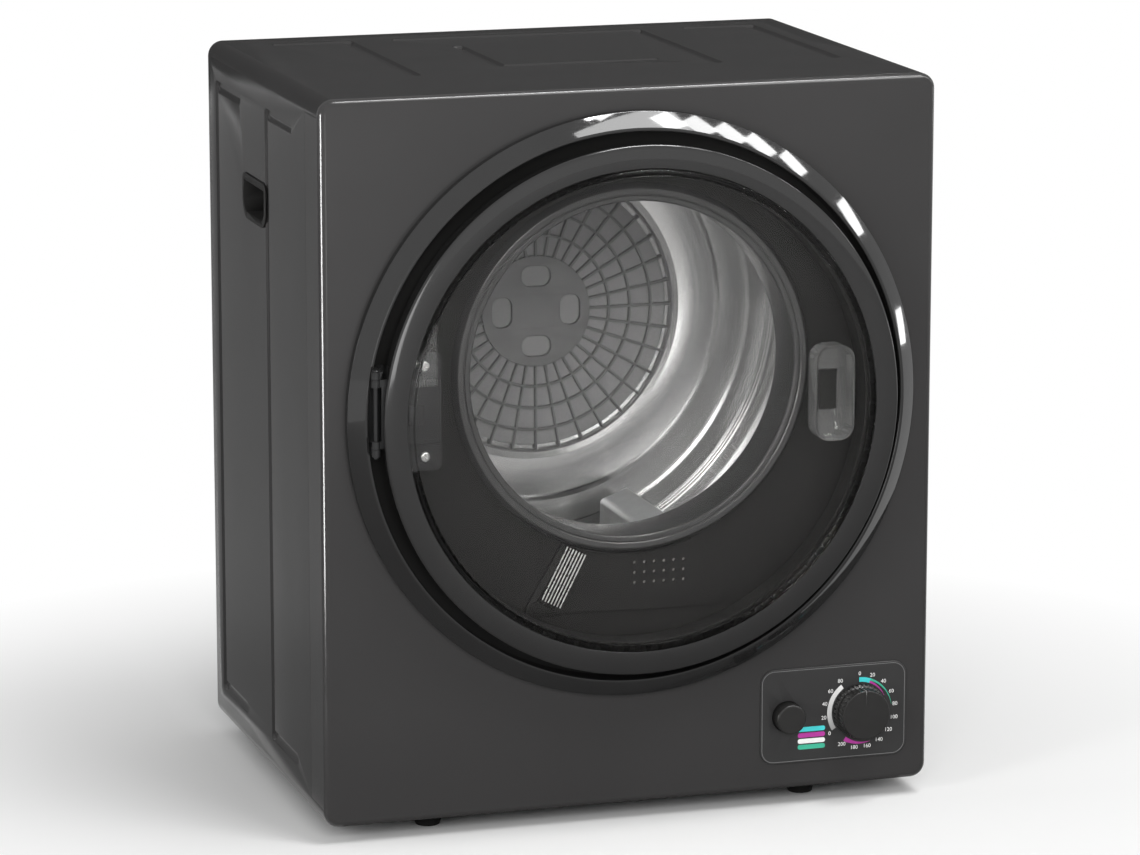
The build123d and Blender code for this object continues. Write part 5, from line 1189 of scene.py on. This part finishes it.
KNOB_RIBS = 36             # one between each two flutes of the solid
KNOB_RIB_RADIUS = 0.9 * MM
KNOB_RIB_FACETS = 10
KNOB_BODY_RADIUS = 19.6 * MM
KNOB_SKIRT = 5.0 * MM
KNOB_BARE = 2.4 * MM       # left free of ribs behind the knob's face
PRINT = 0.08 * MM          # thickness of printed ink
DIAL_NUMBER_RADIUS = 30.2 * MM
DIAL_NUMBER_SIZE = 4.4 * MM
MINUTES = 20               # between two numbers
LONG_COUNT = 10
LONG_STEP = 20.9           # degrees between the numbers of the long scale
SHORT_COUNT = 4
SHORT_STEP = 21.4
SHORT_FIRST = 263.0        # where the short scale's first number stands
SHORT_OFF = 236.0
BAND_INNER = 23.4 * MM
BAND_OUTER = 27.2 * MM
BAND_MIDDLE = (BAND_INNER + BAND_OUTER) / 2
BAND_TIP = 0.2 * MM        # width of a band at its pointed end
BAND_STEPS = 28
FULL_BAND = (BAND_INNER, BAND_OUTER)
OUTER_TIP = (BAND_OUTER - BAND_TIP, BAND_OUTER)
INNER_TIP = (BAND_INNER, BAND_INNER + BAND_TIP)
BANDS = {                  # first and last turn in degrees, inner and outer radius at both, ink
    "band_hottest": (-1, 20, FULL_BAND, FULL_BAND, "ink_cyan"),
    "band_warm": (20, 83, (BAND_MIDDLE, BAND_OUTER), OUTER_TIP, "ink_green"),
    "band_full_load": (20, 62, (BAND_INNER, BAND_MIDDLE), INNER_TIP, "ink_magenta"),
    "band_long": (160, 209, OUTER_TIP, FULL_BAND, "ink_magenta"),
    "band_short": (238, 325, FULL_BAND, FULL_BAND, "ink_fade"),
}
HEAT_INKS = ("ink_cyan", "ink_magenta", "ink_white", "ink_green")    # from the top bar down
PILL = (22.9 * MM, 3.8 * MM)
PILL_ROUNDING = 0.45       # share of the bar's height
PILL_PITCH = 4.8 * MM
PILL_TOP = Vector((-40.3 * MM, -11.7 * MM))    # middle of the first bar from the knob's axis
FASCIA_CORNER = 11.5 * MM
# width and inset of the grey line painted inside the fascia's edge, a painted highlight of its rounded edge
PAINTED_EDGE_HIGHLIGHT = 0.45 * MM
PAINTED_EDGE_HIGHLIGHT_INSET = 1.3 * MM

INK_ROUGHNESS = 0.45
INK_TONE = (0.06, 3, 3)
INK_GLOSS = (0.05, 2, 3)
INK_COLOURS = {
    "ink_white": (0.80, 0.80, 0.79),
    "ink_cyan": (0.05, 0.60, 0.62),
    "ink_green": (0.04, 0.42, 0.27),
    "ink_magenta": (0.42, 0.03, 0.30),
    # grey: the lower end of the short scale's fade, and the painted edge highlight round the fascia
    "grey_ink_and_painted_highlight": (0.16, 0.16, 0.16),
}


def ink_fade():
    """Ink that runs from grey below to white above, along the short scale's band."""
    finish = noisy_finish("ink_fade", INK_COLOURS["ink_white"], INK_ROUGHNESS, gloss=INK_GLOSS)
    bottom, top = KNOB_AXIS.z - BAND_INNER, KNOB_AXIS.z + BAND_INNER
    finish.fade("Z", INK_COLOURS["grey_ink_and_painted_highlight"], INK_COLOURS["ink_white"], bottom, top)
    return finish.material


INKS = {
    name: noisy_finish(name, colour, INK_ROUGHNESS, tone=INK_TONE, gloss=INK_GLOSS).material
    for name, colour in INK_COLOURS.items()
}
INKS["ink_fade"] = ink_fade()


def knob_ribs():
    """Grip ribs round the knob, half a step off its flutes."""
    skirt = high("timer_knob").y - KNOB_SKIRT
    tree = Tree(
        "rib_ring", count=KNOB_RIBS, radius=KNOB_BODY_RADIUS, length=skirt - low("timer_knob").y - KNOB_BARE,
        rib_radius=KNOB_RIB_RADIUS,
    )
    radius = tree.inputs["Radius"]
    count = tree.inputs["Count"]
    line = tree.line(tree.vector(radius), tree.vector(radius, 0.0, tree.inputs["Length"]))
    lines = tree.copies(tree.row(count), line, Rotation=tree.turn(count, start=0.5))
    section = tree.circle(tree.inputs["Rib Radius"], KNOB_RIB_FACETS)
    mesh = tree.mesh(tree.swept(tree.real(lines), section), FINISHES["knob_plastic"], "knob_ribs")
    add_piece("knob_ribs", upright(mesh, Vector((KNOB_AXIS.x, skirt, KNOB_AXIS.z))), "knob", "knob_plastic")


def printed(name, mesh, ink, flat_place=(0, 0)):
    """Puts a print that was drawn flat on the fascia, that far from the knob's axis."""
    centre = Vector((KNOB_AXIS.x + flat_place[0], FASCIA_FACE, KNOB_AXIS.z + flat_place[1]))
    add_piece(name, upright(mesh, centre), "cabinet", "fascia_plastic", material=INKS[ink])


def printed_shape(name, outlines, ink, flat_place):
    """Prints a shape with closed outlines on the fascia."""
    printed(name, flat_plate(name, outlines, 2 * PRINT, 0), ink, flat_place)


def dial_place(turn, radius):
    """A place on the fascia as (x, z) from the knob's axis, that many degrees clockwise from its top."""
    angle = math.radians(turn)
    return Vector((radius * math.sin(angle), radius * math.cos(angle)))


def dial_number(digits, turn):
    """A number on the dial's ring."""
    letters = bpy.data.curves.new("dial_number", "FONT")
    letters.body = digits
    letters.size = DIAL_NUMBER_SIZE
    letters.align_x = "CENTER"
    letters.align_y = "CENTER"
    letters.extrude = PRINT
    letters.resolution_u = 4
    mesh = settled(placed("dial_number", letters))
    printed(f"dial_number_{round(turn)}", mesh, "ink_white", dial_place(turn, DIAL_NUMBER_RADIUS))


def dial_band(name, first, last, first_reach, last_reach, ink):
    """A printed arc between two turns in degrees; each reach is its (inner, outer) radius at that end."""
    rows = []
    for k in range(BAND_STEPS + 1):
        share = k / BAND_STEPS
        turn = first + (last - first) * share
        inner, outer = (a + (b - a) * share for a, b in zip(first_reach, last_reach))
        section = ((inner, 0), (outer, 0), (outer, PRINT), (inner, PRINT))
        rows.append([(*dial_place(turn, radius), height) for radius, height in section])
    printed(name, bar(name, rows), ink)


def dial_marks():
    """Minutes clockwise round the knob, long scale on the right and short scale on the left."""
    for k in range(LONG_COUNT):
        dial_number(str(MINUTES * (k + 1)), LONG_STEP * (k + 1))
    for k in range(SHORT_COUNT):
        dial_number(str(MINUTES * (k + 1)), SHORT_FIRST + SHORT_STEP * k)
    for turn in (0, SHORT_OFF):
        dial_number("0", turn)
    for name, setting in BANDS.items():
        dial_band(name, *setting)


def heat_bars():
    """Four coloured bars between the button and the knob."""
    width, tall = PILL
    for k, ink in enumerate(HEAT_INKS):
        outline = rounded_box_points(width, tall, tall * PILL_ROUNDING)
        printed_shape(f"heat_bar_{k}", [outline], ink, PILL_TOP - Vector((0, k * PILL_PITCH)))


def fascia_outline():
    """Thin grey line just inside the fascia's edge: a painted highlight, standing for the light its rounded
    edge catches.
    """
    size = high("control_fascia") - low("control_fascia")
    outlines = []
    for inset in (PAINTED_EDGE_HIGHLIGHT_INSET, PAINTED_EDGE_HIGHLIGHT_INSET + PAINTED_EDGE_HIGHLIGHT):
        outlines.append(rounded_box_points(size.x - 2 * inset, size.z - 2 * inset, FASCIA_CORNER - inset))
    offset = middle("control_fascia") - KNOB_AXIS
    printed_shape("fascia_outline", outlines, "grey_ink_and_painted_highlight", (offset.x, offset.z))


dress_solids()
smooth_solids()
door_ring()
door_window()
door_bezel()
mouth_ring()
drum_body()
drum_seam()
grille_grid()
grille_hub()
screws("rear_screws_turned", "rear_screws", 1)
screws("hinge_screws_turned", "hinge_screws", -1)
lint_ribs()
hinge_block()
knob_ribs()
dial_marks()
heat_bars()
fascia_outline()
light_stage()
add_camera()
